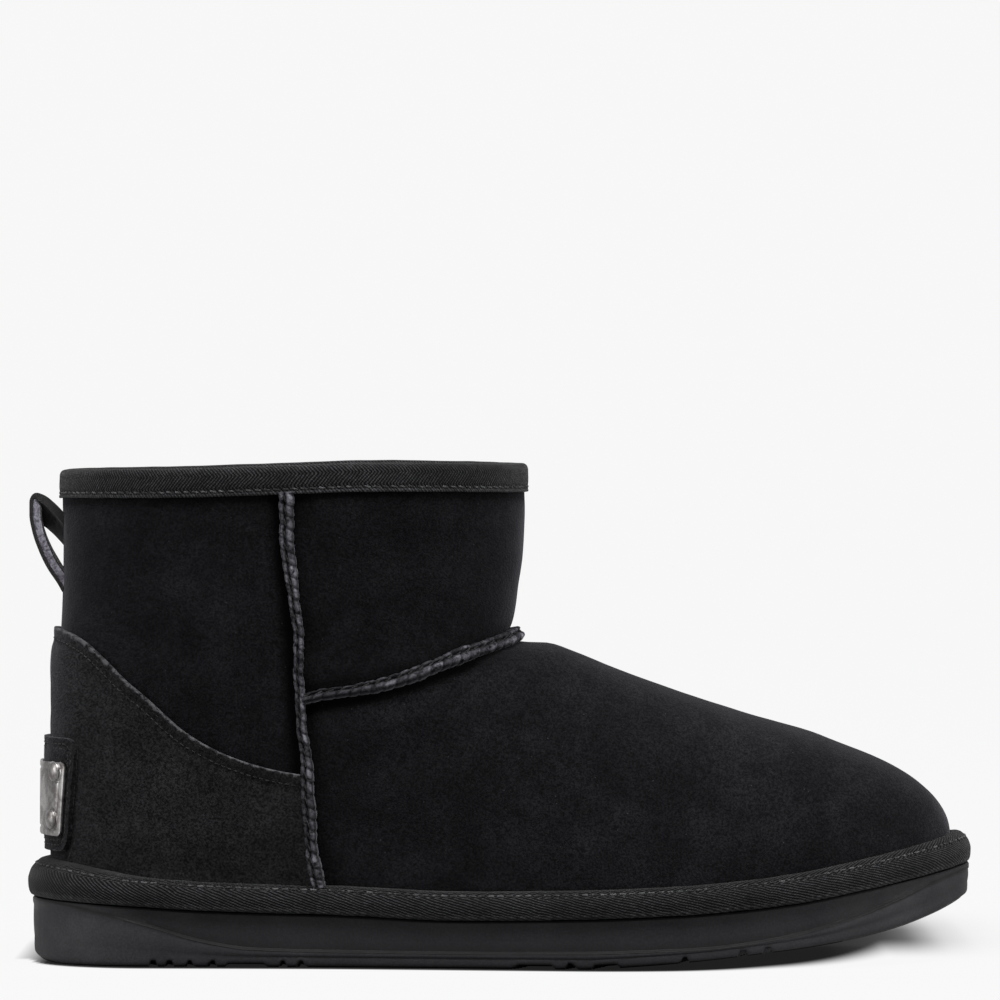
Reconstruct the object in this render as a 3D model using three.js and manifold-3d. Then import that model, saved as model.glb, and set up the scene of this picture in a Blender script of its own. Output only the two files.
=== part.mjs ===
// A right-foot sheepskin ankle boot: a moulded foam sole, a taped welt round its top edge, a hollow sheepskin
// upper with raised side and instep seams, a heel counter, a taped collar, a footbed, a pull loop, and a
// plain metal plate riveted to a suede patch at the heel.
// Millimetres. +X points to the toe, +Y to the inner (big toe) side, +Z up. The origin is on the floor, under
// the middle of the boot's length and breadth.
import * as THREE from "three";
import { mergeVertices } from "three/addons/utils/BufferGeometryUtils.js";
import Module from "manifold-3d";

const wasm = await Module();
wasm.setup();

// Driving sizes
const bootLength = 275; // over the welt tape, heel to toe
const ballHalf = 48; // half the sole's breadth at the ball
const bootHeight = 145; // floor to the crown of the collar
const seat = 0.3; // gap between two pieces that lie on each other
const half = bootLength / 2;

// Sole sizes
const soleHeelX = -half + 1.4;
const soleToeX = half - 0.5;
const weltOverhang = 1.3; // tape proud of the foam
const stepDepth = 1.5; // how far the side steps in above its lower band
const heelCap = 34; // length of the round heel end of the plan
const toeCap = 50;
const heelRound = 2;
const toeRound = 2.45;

// Upper sizes
const toeX = half - 6; // foremost point of the upper
const upperInset = 3.2; // upper's widest line, inside the sole's outline
const bulgeRise = 9; // widest line above the sole's top face
const tuckIn = 1.8; // how far the upper draws in from there down to the sole
const wall = 4; // skin and the felted base of its wool
const domeToeCap = 27; // length over which the vamp's ridge rounds down to the toe
const domeToeRound = 2.2;
const shaftRound = 2.15;
const counterThick = 1.5;
const counterSeat = 0.45; // a little more than seat, for the facets of the upper under it
const patchThick = 1.4;
const plateThick = 0.8;

// Welt and collar tape
const weltRise = 8.3; // height of the taped welt along the sides
const weltHeelExtra = 2.7; // more at the back of the heel
const weltToeExtra = 0.2;
const collarBand = 8; // height of the collar tape
const tapeThick = 0.9;
const rimDrop = 1.5; // upper's own top edge, below the tape's crown

// The plan: half breadths to each side of the centre line as shares of ballHalf, by share of the half length.
// "spine" is how far the ridge of the foot and the toe lean to the inner side.
const planRows = [
  { at: -1, outer: 0.7, inner: 0.7, spine: 0 },
  { at: -0.655, outer: 0.73, inner: 0.715, spine: 0 },
  { at: -0.4, outer: 0.765, inner: 0.685, spine: 0 },
  { at: -0.182, outer: 0.835, inner: 0.665, spine: 0 },
  { at: 0.036, outer: 0.927, inner: 0.725, spine: 0 },
  { at: 0.218, outer: 0.99, inner: 0.854, spine: 0.04 },
  { at: 0.364, outer: 1, inner: 0.955, spine: 0.083 },
  { at: 0.49, outer: 0.968, inner: 1, spine: 0.107 },
  { at: 0.618, outer: 0.896, inner: 0.99, spine: 0.125 },
  { at: 0.764, outer: 0.76, inner: 0.915, spine: 0.14 },
  { at: 1, outer: 0.46, inner: 0.69, spine: 0.146 },
];

// The sole seen from the side, by share of the half length: its top face, the line of the step in its side,
// and its tread, which lifts to the toe
const soleRows = [
  { at: -1, top: 18.7, step: 18.3, under: 2.8 },
  { at: -0.96, top: 18.4, step: 17.8, under: 0.5 },
  { at: -0.915, top: 18.1, step: 17.2, under: 0 },
  { at: -0.84, top: 17.6, step: 15.3, under: 0 },
  { at: -0.735, top: 16.8, step: 11.7, under: 0 },
  { at: -0.63, top: 15.9, step: 7.5, under: 0 },
  { at: -0.52, top: 15.4, step: 5.1, under: 0 },
  { at: -0.36, top: 14.9, step: 4.5, under: 0 },
  { at: -0.1, top: 13.5, step: 4.3, under: 0 },
  { at: 0.18, top: 14.1, step: 4.6, under: 0 },
  { at: 0.28, top: 14.6, step: 5, under: 0.8 },
  { at: 0.425, top: 15.7, step: 5.9, under: 2.5 },
  { at: 0.54, top: 17.1, step: 7.7, under: 4.3 },
  { at: 0.63, top: 18.6, step: 10, under: 5.7 },
  { at: 0.727, top: 20.9, step: 13.6, under: 7.7 },
  { at: 0.836, top: 23.6, step: 19, under: 10.9 },
  { at: 0.916, top: 25.8, step: 23.6, under: 14.4 },
  { at: 1, top: 28.3, step: 26.9, under: 19.3 },
];

// The ridge of the foot form by share of the half length, and how square its cross-sections are.
// Behind the instep the ridge runs on inside the shaft.
const ridgeRows = [
  { at: -1, ridge: 120, rise: 3, spread: 2 },
  { at: -0.436, ridge: 116, rise: 3.1, spread: 2 },
  { at: -0.204, ridge: 108, rise: 3.1, spread: 2 },
  { at: 0, ridge: 96.5, rise: 3, spread: 2 },
  { at: 0.04, ridge: 94.1, rise: 2.95, spread: 2 },
  { at: 0.07, ridge: 93.1, rise: 2.85, spread: 2 },
  { at: 0.1, ridge: 92.5, rise: 2.75, spread: 2 },
  { at: 0.16, ridge: 89.6, rise: 2.6, spread: 2 },
  { at: 0.263, ridge: 83.8, rise: 2.4, spread: 2 },
  { at: 0.415, ridge: 76.1, rise: 2.15, spread: 2.05 },
  { at: 0.567, ridge: 69.6, rise: 2, spread: 2.1 },
  { at: 0.67, ridge: 65.5, rise: 2, spread: 2.15 },
  { at: 0.74, ridge: 61.8, rise: 2, spread: 2.15 },
  { at: 0.82, ridge: 58, rise: 2, spread: 2.2 },
  { at: 1, ridge: 52.5, rise: 2, spread: 2.2 },
];

// The shaft by height: its back and front in X, and half its breadth
const shaftRows = [
  { z: 22, back: -128.4, front: -12, side: 28 },
  { z: 40, back: -129.3, front: -10, side: 33 },
  { z: 60, back: -129.2, front: -6, side: 36.5 },
  { z: 80, back: -129, front: -1, side: 39.4 },
  { z: 90, back: -128.6, front: 1.6, side: 40.6 },
  { z: 98, back: -127.8, front: 3.8, side: 41.5 },
  { z: 109, back: -127.3, front: 5.4, side: 42.6 },
  { z: 123, back: -127.2, front: 6.9, side: 43.9 },
  { z: 133, back: -127.3, front: 7.2, side: 44.7 },
  { z: 150, back: -126.6, front: 6.7, side: 45.6 },
];

// Heights of the lines that the maker cuts to, by share of the half length: the collar and the instep seam
const cutRows = [
  { at: -0.95, collar: 142.4, instep: 62 },
  { at: -0.89, collar: 142.9, instep: 64 },
  { at: -0.7, collar: 143.2, instep: 69.5 },
  { at: -0.4, collar: 144.5, instep: 77.6 },
  { at: -0.29, collar: 145, instep: 80 },
  { at: -0.204, collar: 145, instep: 83.2 },
  { at: -0.125, collar: 144.9, instep: 86.9 },
  { at: -0.04, collar: 144.7, instep: 91.2 },
  { at: 0.036, collar: 144.5, instep: 94.7 },
  { at: 1, collar: 144.5, instep: 134 },
];

// The side seam in X by height, and the top edge of the counter by share of the half length
const sideSeamRows = [
  { z: 20, x: -51.8 },
  { z: 40, x: -54.5 },
  { z: 60, x: -55.9 },
  { z: 77, x: -57.2 },
  { z: 94, x: -57.9 },
  { z: 117, x: -60.2 },
  { z: 140, x: -61.6 },
];
const counterRows = [
  { at: -0.94, z: 96.8 },
  { at: -0.91, z: 95.6 },
  { at: -0.873, z: 93.1 },
  { at: -0.828, z: 88.2 },
  { at: -0.783, z: 82.4 },
  { at: -0.738, z: 77.4 },
  { at: -0.648, z: 66.9 },
  { at: -0.56, z: 60.6 },
  { at: -0.472, z: 56.9 },
  { at: -0.4, z: 55.2 },
];

// A smooth value from a table, with no overshoot between its rows
function tableValue(rows, key, column, where) {
  const last = rows.length - 1;
  if (where <= rows[0][key]) return rows[0][column];
  if (where >= rows[last][key]) return rows[last][column];
  let i = 0;
  while (where > rows[i + 1][key]) i++;
  const slope = (k) => (rows[k + 1][column] - rows[k][column]) / (rows[k + 1][key] - rows[k][key]);
  const tangent = (k) => {
    if (k === 0) return slope(0);
    if (k === last) return slope(last - 1);
    const before = slope(k - 1);
    const after = slope(k);
    return before * after <= 0 ? 0 : (2 * before * after) / (before + after);
  };
  const span = rows[i + 1][key] - rows[i][key];
  const t = (where - rows[i][key]) / span;
  const a = rows[i][column];
  const b = rows[i + 1][column];
  return (
    a * (2 * t ** 3 - 3 * t ** 2 + 1) +
    tangent(i) * span * (t ** 3 - 2 * t ** 2 + t) +
    b * (3 * t ** 2 - 2 * t ** 3) +
    tangent(i + 1) * span * (t ** 3 - t ** 2)
  );
}

const plan = (x, column) => ballHalf * tableValue(planRows, "at", column, x / half);
const soleAt = (x, column) => tableValue(soleRows, "at", column, x / half);
const ridgeAt = (x, column) => tableValue(ridgeRows, "at", column, x / half);
const shaftAt = (z, column) => tableValue(shaftRows, "z", column, z);
const cutAt = (x, column) => tableValue(cutRows, "at", column, x / half);
const counterTop = (x) => tableValue(counterRows, "at", "z", x / half);
const sideSeamX = (z) => tableValue(sideSeamRows, "z", "x", z);
const bulgeZ = (x) => soleAt(x, "top") + bulgeRise;
const mix = (a, b, t) => a + (b - a) * t;

// 1 along a form, rounding down to 0 at its end
function roundedEnd(distanceFromEnd, capLength, power) {
  if (distanceFromEnd <= 0) return 0;
  if (distanceFromEnd >= capLength) return 1;
  return (1 - (1 - distanceFromEnd / capLength) ** power) ** (1 / power);
}

// Reach of a foot-shaped plan to one side (-1 outer, +1 inner) of Y = 0, narrowed by "share" towards its spine
function planReach(x, side, heelX, frontX, inset, share = 1) {
  const spine = plan(x, "spine") * side;
  const breadth = plan(x, side < 0 ? "outer" : "inner") - inset;
  const heel = roundedEnd(x - heelX, heelCap, heelRound);
  const toe = roundedEnd(frontX - x, toeCap, toeRound);
  return spine + (breadth - spine) * heel * toe * share;
}

// Height of the foot form's ridge, rounding down to the bulge line at the toe
function ridgeZ(x) {
  return bulgeZ(x) + (ridgeAt(x, "ridge") - bulgeZ(x)) * roundedEnd(toeX - x, domeToeCap, domeToeRound);
}

// A reach that means "the form isn't there"
const nowhere = -1000;

// Reach of the foot form to one side of the middle plane at a height. Near the ridge of the toe, which lies on
// the inner side, the outer face crosses that plane, and its reach is below 0.
function footReach(x, z, side) {
  const low = bulgeZ(x);
  const high = ridgeZ(x);
  if (z > high || high - low < 1e-6) return nowhere;
  const q = Math.max(0, (z - low) / (high - low));
  const share = (1 - q ** ridgeAt(x, "rise")) ** (1 / ridgeAt(x, "spread"));
  return planReach(x, side, shaftAt(z, "back"), toeX, upperInset, share);
}

// Reach of the shaft form to either side at a height
function shaftReach(x, z) {
  const back = shaftAt(z, "back");
  const front = shaftAt(z, "front");
  const s = Math.abs((x - (back + front) / 2) / ((front - back) / 2));
  if (s >= 1) return nowhere;
  return shaftAt(z, "side") * (1 - s ** shaftRound) ** (1 / shaftRound);
}

// Reach of the upper to one side: the foot and the shaft, flowing into each other
function upperReach(x, z, side) {
  const foot = footReach(x, z, side);
  const shaft = shaftReach(x, z);
  const most = Math.max(foot, shaft);
  if (most === nowhere) return 0;
  if (Math.min(foot, shaft) === nowhere) return most;
  // They flow widely along the sides, and meet in a crease at the front of the instep
  const alongSides = THREE.MathUtils.smoothstep(x, -70, -45);
  const atCrease = THREE.MathUtils.smoothstep(x, -24, -2);
  const soft = Math.min(mix(mix(8, 15, alongSides), 2.5, atCrease), most / 2);
  const near = Math.max(soft - Math.abs(foot - shaft), 0) / Math.max(soft, 1e-6);
  return most + (near * near * soft) / 4;
}

// Height of the loop of the upper at a level: below 0 it draws in to the sole, 0 is the widest line, 1 the
// instep seam, and 2 the upper's top edge
function levelZ(x, level) {
  if (level <= 1) return mix(bulgeZ(x), cutAt(x, "instep"), Math.max(level, 0));
  return mix(cutAt(x, "instep"), cutAt(x, "collar") - rimDrop, level - 1);
}

function bisect(low, high, isPast) {
  for (let i = 0; i < 40; i++) {
    const middle = (low + high) / 2;
    if (isPast(middle)) high = middle;
    else low = middle;
  }
  return (low + high) / 2;
}

// The two ends of a loop in X, where the upper's centre line crosses its level
function levelEnds(level) {
  const back = bisect(-half, -100, (x) => x > shaftAt(levelZ(x, level), "back"));
  let front = toeX;
  if (level > 0 && level <= 1) front = bisect(0, toeX, (x) => levelZ(x, level) > ridgeZ(x));
  if (level > 1) {
    const vampEnd = bisect(0, toeX, (x) => levelZ(x, level) > ridgeZ(x));
    const shaftEnd = bisect(-20, 30, (x) => x > shaftAt(levelZ(x, level), "front"));
    front = Math.max(levelZ(0, level) < ridgeZ(0) ? vampEnd : shaftEnd, shaftEnd);
  }
  return { back, front };
}

// One loop of the upper's outer face: point 0 at the heel, then the outer side, the front, the inner side
function upperLoop(level, count) {
  const { back, front } = levelEnds(level);
  const loop = [];
  for (let i = 0; i < count; i++) {
    const turn = (2 * Math.PI * i) / count;
    const side = i <= count / 2 ? -1 : 1;
    const x = mix(back, front, (1 - Math.cos(turn)) / 2);
    const z = levelZ(x, level);
    const atEnd = i === 0 || i === count / 2;
    const endY = level <= 1 ? plan(x, "spine") : 0;
    loop.push(new THREE.Vector3(x, atEnd ? endY : side * upperReach(x, z, side), z));
  }
  if (level >= 0) return loop;
  return offsetPlan(loop, -tuckIn * (-level) ** 1.5).map((p) => p.setZ(p.z + level * (bulgeRise - seat)));
}

// A loop moved outwards in plan, seen from above
function offsetPlan(loop, distance) {
  return loop.map((p, i) => {
    const before = loop[(i + loop.length - 1) % loop.length];
    const after = loop[(i + 1) % loop.length];
    const along = new THREE.Vector3().subVectors(after, before).setZ(0).normalize();
    return new THREE.Vector3(p.x + -along.y * -distance, p.y + along.x * -distance, p.z);
  });
}

// Outward normals of a grid of points, whose rows may close on themselves
function gridNormals(grid, closed) {
  return grid.map((row, j) =>
    row.map((point, i) => {
      const n = row.length;
      const left = closed ? row[(i + n - 1) % n] : row[Math.max(i - 1, 0)];
      const right = closed ? row[(i + 1) % n] : row[Math.min(i + 1, n - 1)];
      const below = grid[Math.max(j - 1, 0)][i];
      const above = grid[Math.min(j + 1, grid.length - 1)][i];
      const along = new THREE.Vector3().subVectors(right, left);
      const up = new THREE.Vector3().subVectors(above, below);
      return along.cross(up).normalize();
    }),
  );
}

// The same, each evened out with those round it, so that an offset keeps clear of itself at a crease
function evenNormals(grid, closed, rounds) {
  let normals = gridNormals(grid, closed);
  for (let k = 0; k < rounds; k++)
    normals = normals.map((row, j) =>
      row.map((normal, i) => {
        const n = row.length;
        const left = closed ? row[(i + n - 1) % n] : row[Math.max(i - 1, 0)];
        const right = closed ? row[(i + 1) % n] : row[Math.min(i + 1, n - 1)];
        const below = normals[Math.max(j - 1, 0)][i];
        const above = normals[Math.min(j + 1, normals.length - 1)][i];
        return normal.clone().multiplyScalar(2).add(left).add(right).add(below).add(above).normalize();
      }),
    );
  return normals;
}

function offsetGrid(grid, closed, distance, rounds = 0) {
  const normals = evenNormals(grid, closed, rounds);
  return grid.map((row, j) => row.map((p, i) => p.clone().addScaledVector(normals[j][i], distance)));
}

function geometryOf(points, faces) {
  const geometry = new THREE.BufferGeometry().setFromPoints(points);
  geometry.setIndex(faces.flat());
  return geometry;
}

// A closed solid through rings of the same count, from the lowest up. Each square is cut along its shorter
// diagonal. Each end is closed by rungs between the ring's two sides, which keeps a bent end true to its length.
function loft(rings) {
  const count = rings[0].length;
  const points = rings.flat();
  const faces = [];
  for (let j = 0; j + 1 < rings.length; j++)
    for (let i = 0; i < count; i++) {
      const a = j * count + i;
      const b = j * count + ((i + 1) % count);
      const [c, d] = [b + count, a + count];
      if (points[a].distanceTo(points[c]) < points[b].distanceTo(points[d])) faces.push([a, b, c], [a, c, d]);
      else faces.push([a, b, d], [b, c, d]);
    }
  const closeEnd = (base, flip) => {
    for (let i = 0; i < count / 2; i++) {
      const quad = [i, i + 1, count - i - 1, (count - i) % count].map((k) => base + (k % count));
      const pair = [
        [quad[0], quad[2], quad[1]],
        [quad[0], quad[3], quad[2]],
      ];
      for (const face of pair)
        if (new Set(face).size === 3) faces.push(flip ? [face[0], face[2], face[1]] : face);
    }
  };
  closeEnd(0, false);
  closeEnd((rings.length - 1) * count, true);
  return geometryOf(points, faces);
}

// A closed tube through sections that are small loops, joined end to end into a ring or capped at its ends
function sweep(sections, isRing) {
  const n = sections[0].length;
  const faces = [];
  const spans = isRing ? sections.length : sections.length - 1;
  for (let j = 0; j < spans; j++)
    for (let i = 0; i < n; i++) {
      const a = j * n + i;
      const b = j * n + ((i + 1) % n);
      const c = ((j + 1) % sections.length) * n + i;
      const d = ((j + 1) % sections.length) * n + ((i + 1) % n);
      faces.push([a, b, d], [a, d, c]);
    }
  if (!isRing) {
    const end = (sections.length - 1) * n;
    for (let i = 1; i + 1 < n; i++) faces.push([0, i + 1, i], [end, end + i, end + i + 1]);
  }
  return geometryOf(sections.flat(), faces);
}

// A sheet of even thickness between two offsets of an open grid
function sheet(grid, low, high) {
  const bottom = offsetGrid(grid, false, low);
  const top = offsetGrid(grid, false, high);
  const rows = grid.length;
  const columns = grid[0].length;
  const points = [...bottom.flat(), ...top.flat()];
  const at = (layer, j, i) => layer * rows * columns + j * columns + i;
  const faces = [];
  const quad = (a, b, c, d) => faces.push([a, b, c], [a, c, d]);
  for (let j = 0; j + 1 < rows; j++)
    for (let i = 0; i + 1 < columns; i++) {
      quad(at(1, j, i), at(1, j, i + 1), at(1, j + 1, i + 1), at(1, j + 1, i));
      quad(at(0, j, i), at(0, j + 1, i), at(0, j + 1, i + 1), at(0, j, i + 1));
    }
  for (let i = 0; i + 1 < columns; i++) {
    quad(at(0, 0, i), at(0, 0, i + 1), at(1, 0, i + 1), at(1, 0, i));
    quad(at(1, rows - 1, i), at(1, rows - 1, i + 1), at(0, rows - 1, i + 1), at(0, rows - 1, i));
  }
  for (let j = 0; j + 1 < rows; j++) {
    quad(at(1, j, 0), at(1, j + 1, 0), at(0, j + 1, 0), at(0, j, 0));
    quad(at(0, j, columns - 1), at(0, j + 1, columns - 1), at(1, j + 1, columns - 1), at(1, j, columns - 1));
  }
  return geometryOf(points, faces);
}

// Manifold solids from and to three.js geometry
function solid(geometry) {
  const bare = geometry.index ? geometry.toNonIndexed() : geometry.clone();
  bare.deleteAttribute("normal");
  bare.deleteAttribute("uv");
  const merged = mergeVertices(bare, 1e-4);
  const made = new wasm.Manifold(
    new wasm.Mesh({
      numProp: 3,
      vertProperties: new Float32Array(merged.attributes.position.array),
      triVerts: new Uint32Array(merged.index.array),
    }),
  );
  return made;
}

function geometryFrom(made) {
  const mesh = made.getMesh();
  const geometry = new THREE.BufferGeometry();
  geometry.setAttribute("position", new THREE.BufferAttribute(new Float32Array(mesh.vertProperties), 3));
  geometry.setIndex(new THREE.BufferAttribute(new Uint32Array(mesh.triVerts), 1));
  return geometry;
}

// Outline of the sole family in plan, at a height that depends on X
function soleLoop(count, heelX, frontX, inset, height) {
  const loop = [];
  for (let i = 0; i < count; i++) {
    const turn = (2 * Math.PI * i) / count;
    const side = i <= count / 2 ? -1 : 1;
    const x = mix(heelX, frontX, (1 - Math.cos(turn)) / 2);
    loop.push(new THREE.Vector3(x, side * planReach(x, side, heelX, frontX, inset), height(x)));
  }
  return loop;
}

// The foam sole: rings from its underside up, then grooves cut across its tread
const soleCount = 52;
const edgeInset = 2.2;

function soleSolid() {
  const outline = soleLoop(soleCount, soleHeelX, soleToeX, 0, () => 0);
  const ring = (inset, height) => offsetPlan(outline, -inset).map((p) => p.setZ(height(p.x)));
  const under = (x) => soleAt(x, "under");
  const top = (x) => soleAt(x, "top");
  const step = (x) => Math.min(soleAt(x, "step"), top(x) - 1.6);
  // The step fades out where its line runs up into the top edge at the heel and toe
  const fade = (x) => THREE.MathUtils.smoothstep(top(x) - soleAt(x, "step"), 1, 7);
  const stepInset = (share) =>
    offsetPlan(outline, -1).map((p, i) => {
      const from = outline[i];
      const inset = stepDepth * share * fade(from.x);
      return new THREE.Vector3(mix(from.x, p.x, inset), mix(from.y, p.y, inset), 0);
    });
  const lift = (points, height) => points.map((p) => p.setZ(height(p.x)));
  const rings = [
    ring(edgeInset, under),
    ring(0.7, (x) => under(x) + 1.3),
    lift(stepInset(0.2), (x) => mix(under(x) + 1.3, step(x), 0.75)),
    lift(stepInset(1), (x) => step(x) + 0.5),
    lift(stepInset(0.25), (x) => top(x) - 0.6),
    ring(0.6, top),
  ];
  let made = solid(loft(rings));
  for (const groove of grooves) made = made.subtract(grooveSolid(groove));
  return made;
}

// Tread grooves across the sole. "x" is the middle, and "bars" cuts a broad shallow rest between lugs.
const grooves = [
  { x: -101.7, width: 2.2, depth: 1.6 },
  { x: -96.8, width: 2.2, depth: 1.6 },
  { x: -91, width: 2.2, depth: 1.6 },
  { x: -84.4, width: 2.2, depth: 1.6 },
  { x: -74.6, width: 12, depth: 0.8 },
  { x: -63.8, width: 2.2, depth: 1.6 },
  { x: -58.4, width: 2.2, depth: 1.6 },
  { x: 11.6, width: 11.5, depth: 1 },
  { x: 22.4, width: 2.4, depth: 1.6 },
  { x: 32.4, width: 7, depth: 1.1 },
  { x: 55, width: 2.4, depth: 1.6 },
  { x: 71.6, width: 2.4, depth: 1.6 },
  { x: 78.4, width: 2.4, depth: 1.6 },
];

function grooveSolid({ x, width, depth }) {
  const wave = (y) => 2.2 * Math.cos((y / 16) * Math.PI);
  const reach = 60;
  const steps = 11;
  const shape = new THREE.Shape();
  const edge = (shift, backwards) => {
    for (let i = 0; i <= steps; i++) {
      const y = mix(-reach, reach, (backwards ? steps - i : i) / steps);
      shape[i === 0 && !backwards ? "moveTo" : "lineTo"](x + wave(y) + shift, y);
    }
  };
  edge(width / 2, false);
  edge(-width / 2, true);
  const block = new THREE.ExtrudeGeometry(shape, { depth: 4, bevelEnabled: false });
  block.translate(0, 0, -2);
  // The groove's top face keeps its depth above the rising tread
  const position = block.getAttribute("position");
  for (let i = 0; i < position.count; i++)
    if (position.getZ(i) > 0) position.setZ(i, soleAt(position.getX(i), "under") + depth);
  return solid(block);
}

// The upper: outer form less inner form, with its raised seams joined on
const upperCount = 48;
const upperLevels = [-1, -0.6, -0.25, 0, 0.05, 0.1, 0.15, 0.21, 0.29, 0.4, 0.52, 0.65, 0.77, 0.87, 0.94, 1];
const shaftLevels = [1.06, 1.16, 1.32, 1.55, 1.8, 2];
const innerLevels = [-1, -0.25, 0, 0.1, 0.21, 0.4, 0.65, 0.87, 1, 1.16, 1.55, 1.8, 2];

function upperSolid() {
  const levels = [...upperLevels, ...shaftLevels];
  const outer = levels.map((level) => upperLoop(level, upperCount));
  const inner = offsetGrid(outer, true, -wall, 3).filter((loop, j) => innerLevels.includes(levels[j]));
  const lowest = inner[0].map((p) => p.clone().setZ(p.z - 6));
  const highest = inner[inner.length - 1].map((p) => p.clone().setZ(p.z + 6));
  let made = solid(loft(outer)).subtract(solid(loft([lowest, ...inner, highest])));
  for (const seam of [sideSeam(-1), sideSeam(1), instepSeam()]) made = made.add(solid(seam));
  return made;
}

// A raised seam is two cut edges standing side by side: a double hump, given as steps across and out
function seamGeometry(path, outward, proud) {
  const profile = [
    [-2.6, -1.6],
    [-2.5, 0.3 * proud],
    [-1.4, proud],
    [0, 0.55 * proud],
    [1.4, proud],
    [2.5, 0.3 * proud],
    [2.6, -1.6],
  ];
  const sections = path.map((point, k) => {
    const before = path[Math.max(k - 1, 0)];
    const after = path[Math.min(k + 1, path.length - 1)];
    const along = new THREE.Vector3().subVectors(after, before).normalize();
    const out = outward[k].clone().addScaledVector(along, -outward[k].dot(along)).normalize();
    const across = new THREE.Vector3().crossVectors(along, out);
    return profile.map(([a, o]) => point.clone().addScaledVector(across, a).addScaledVector(out, o));
  });
  return sweep(sections, false);
}

function surfacePoint(x, z, side) {
  return new THREE.Vector3(x, side * upperReach(x, z, side), z);
}

function surfaceNormal(x, z, side) {
  const step = 1.5;
  const along = surfacePoint(x + step, z, side).sub(surfacePoint(x - step, z, side));
  const up = surfacePoint(x, z + step, side).sub(surfacePoint(x, z - step, side));
  return along.cross(up).multiplyScalar(-side).normalize();
}

function sideSeam(side) {
  const low = soleAt(-52, "top") + weltRise + 1;
  const high = cutAt(-60, "collar") - collarBand - 0.8;
  const steps = 17;
  const path = [];
  const outward = [];
  for (let k = 0; k <= steps; k++) {
    const z = mix(low, high, k / steps);
    path.push(surfacePoint(sideSeamX(z), z, side));
    outward.push(surfaceNormal(sideSeamX(z), z, side));
  }
  return seamGeometry(path, outward, 1.7);
}

function instepSeam() {
  const loop = upperLoop(1, 80);
  const path = loop.filter((p) => p.x > sideSeamX(p.z) - 0.5);
  const outward = path.map((p) => {
    const out = new THREE.Vector3(Math.max(p.x + 20, 0) / 25, p.y / 34, 0).normalize();
    return out.setZ(0.25).normalize();
  });
  return seamGeometry(path, outward, 2.6);
}

// The back of the boot as a sheet: "arc" runs round the heel from its middle, positive to the outer side
function heelPoint(arc, z) {
  const back = shaftAt(z, "back");
  const turn = Math.abs(arc) / heelCap;
  const straight = Math.abs(arc) - (heelCap * Math.PI) / 2;
  const x = turn < Math.PI / 2 ? back + heelCap * (1 - Math.cos(turn)) : back + heelCap + straight;
  const side = arc > 0 ? -1 : 1;
  if (Math.abs(arc) < 1e-6) return new THREE.Vector3(back, 0, z);
  return new THREE.Vector3(x, side * upperReach(x, z, side), z);
}

function evenly(from, to, steps) {
  return Array.from({ length: steps + 1 }, (_, i) => mix(from, to, i / steps));
}

// The counter wraps the heel up to its curved top edge and forward to the side seams
function counterGeometry() {
  const seamClear = 3.5;
  const arcAt = (x) => (heelCap * Math.PI) / 2 + (x - (shaftAt(40, "back") + heelCap));
  const reach = arcAt(sideSeamX(50) - seamClear);
  const arcs = evenly(-reach, reach, 26);
  const rows = 5;
  const grid = [];
  for (let j = 0; j <= rows; j++)
    grid.push(
      arcs.map((arc) => {
        // Near the seams each point slides back so that the front edge follows the seam's slope
        const middle = heelPoint(arc, 50);
        const low = soleAt(middle.x, "top") + weltTop(arc) + 2 * seat;
        const z = mix(low, counterTop(middle.x), j / rows);
        const slide = sideSeamX(z) - sideSeamX(50);
        const share = (Math.abs(arc) / reach) ** 4;
        return heelPoint(arc + Math.sign(arc) * slide * share, z);
      }),
    );
  return sheet(grid, counterSeat, counterSeat + counterThick);
}

// Height of the taped welt above the sole's top face, higher round the back of the heel
function weltTop(arc) {
  return weltRise + weltHeelExtra * Math.max(0, Math.cos(Math.min(Math.abs(arc) / heelCap, Math.PI / 2))) + 0.3;
}

// The patch and the plate lie on the counter. Each has round corners, is bent round the heel, and narrows from
// its full breadth at the top to a share of it at the bottom.
const patch = { wide: 53, narrow: 0.86, low: 32.6, high: 65.2, corner: 5 };
const plate = { wide: 44.4, narrow: 0.9, low: 37, high: 58.2, corner: 1.6 };

function bentRectangle(outline, columns, rows, low, high) {
  const arcs = evenly(-1, 1, columns).map((s) => (outline.wide / 2) * Math.sin((s * Math.PI) / 2));
  const drop = (arc) => {
    const inCorner = Math.max(0, Math.abs(arc) - (outline.wide / 2 - outline.corner));
    return outline.corner - Math.sqrt(Math.max(outline.corner ** 2 - inCorner ** 2, 0));
  };
  const grid = [];
  for (let j = 0; j <= rows; j++)
    grid.push(
      arcs.map((arc) => {
        const z = mix(outline.low + 0.98 * drop(arc), outline.high - 0.98 * drop(arc), j / rows);
        return heelPoint(arc * mix(outline.narrow, 1, (z - outline.low) / (outline.high - outline.low)), z);
      }),
    );
  return sheet(grid, low, high);
}

const patchLow = counterSeat + counterThick + seat;
const plateLow = patchLow + patchThick + seat;
const rivetHead = { radius: 2.9, rise: 1.1, shank: 1.3 };
const rivetPlaces = [
  { arc: 17.4, z: 55.4 },
  { arc: 15.6, z: 41.6 },
  { arc: -17.4, z: 55.4 },
  { arc: -15.6, z: 41.6 },
];

// Stands a geometry made along +Z on the heel, at a height above the upper's face
function standOnHeel(geometry, { arc, z }, height) {
  const step = 0.8;
  const along = heelPoint(arc + step, z).sub(heelPoint(arc - step, z));
  const up = heelPoint(arc, z + step).sub(heelPoint(arc, z - step));
  const out = along.cross(up).normalize();
  const turn = new THREE.Quaternion().setFromUnitVectors(new THREE.Vector3(0, 0, 1), out);
  const foot = heelPoint(arc, z).addScaledVector(out, height);
  return geometry.applyQuaternion(turn).translate(foot.x, foot.y, foot.z);
}

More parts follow.
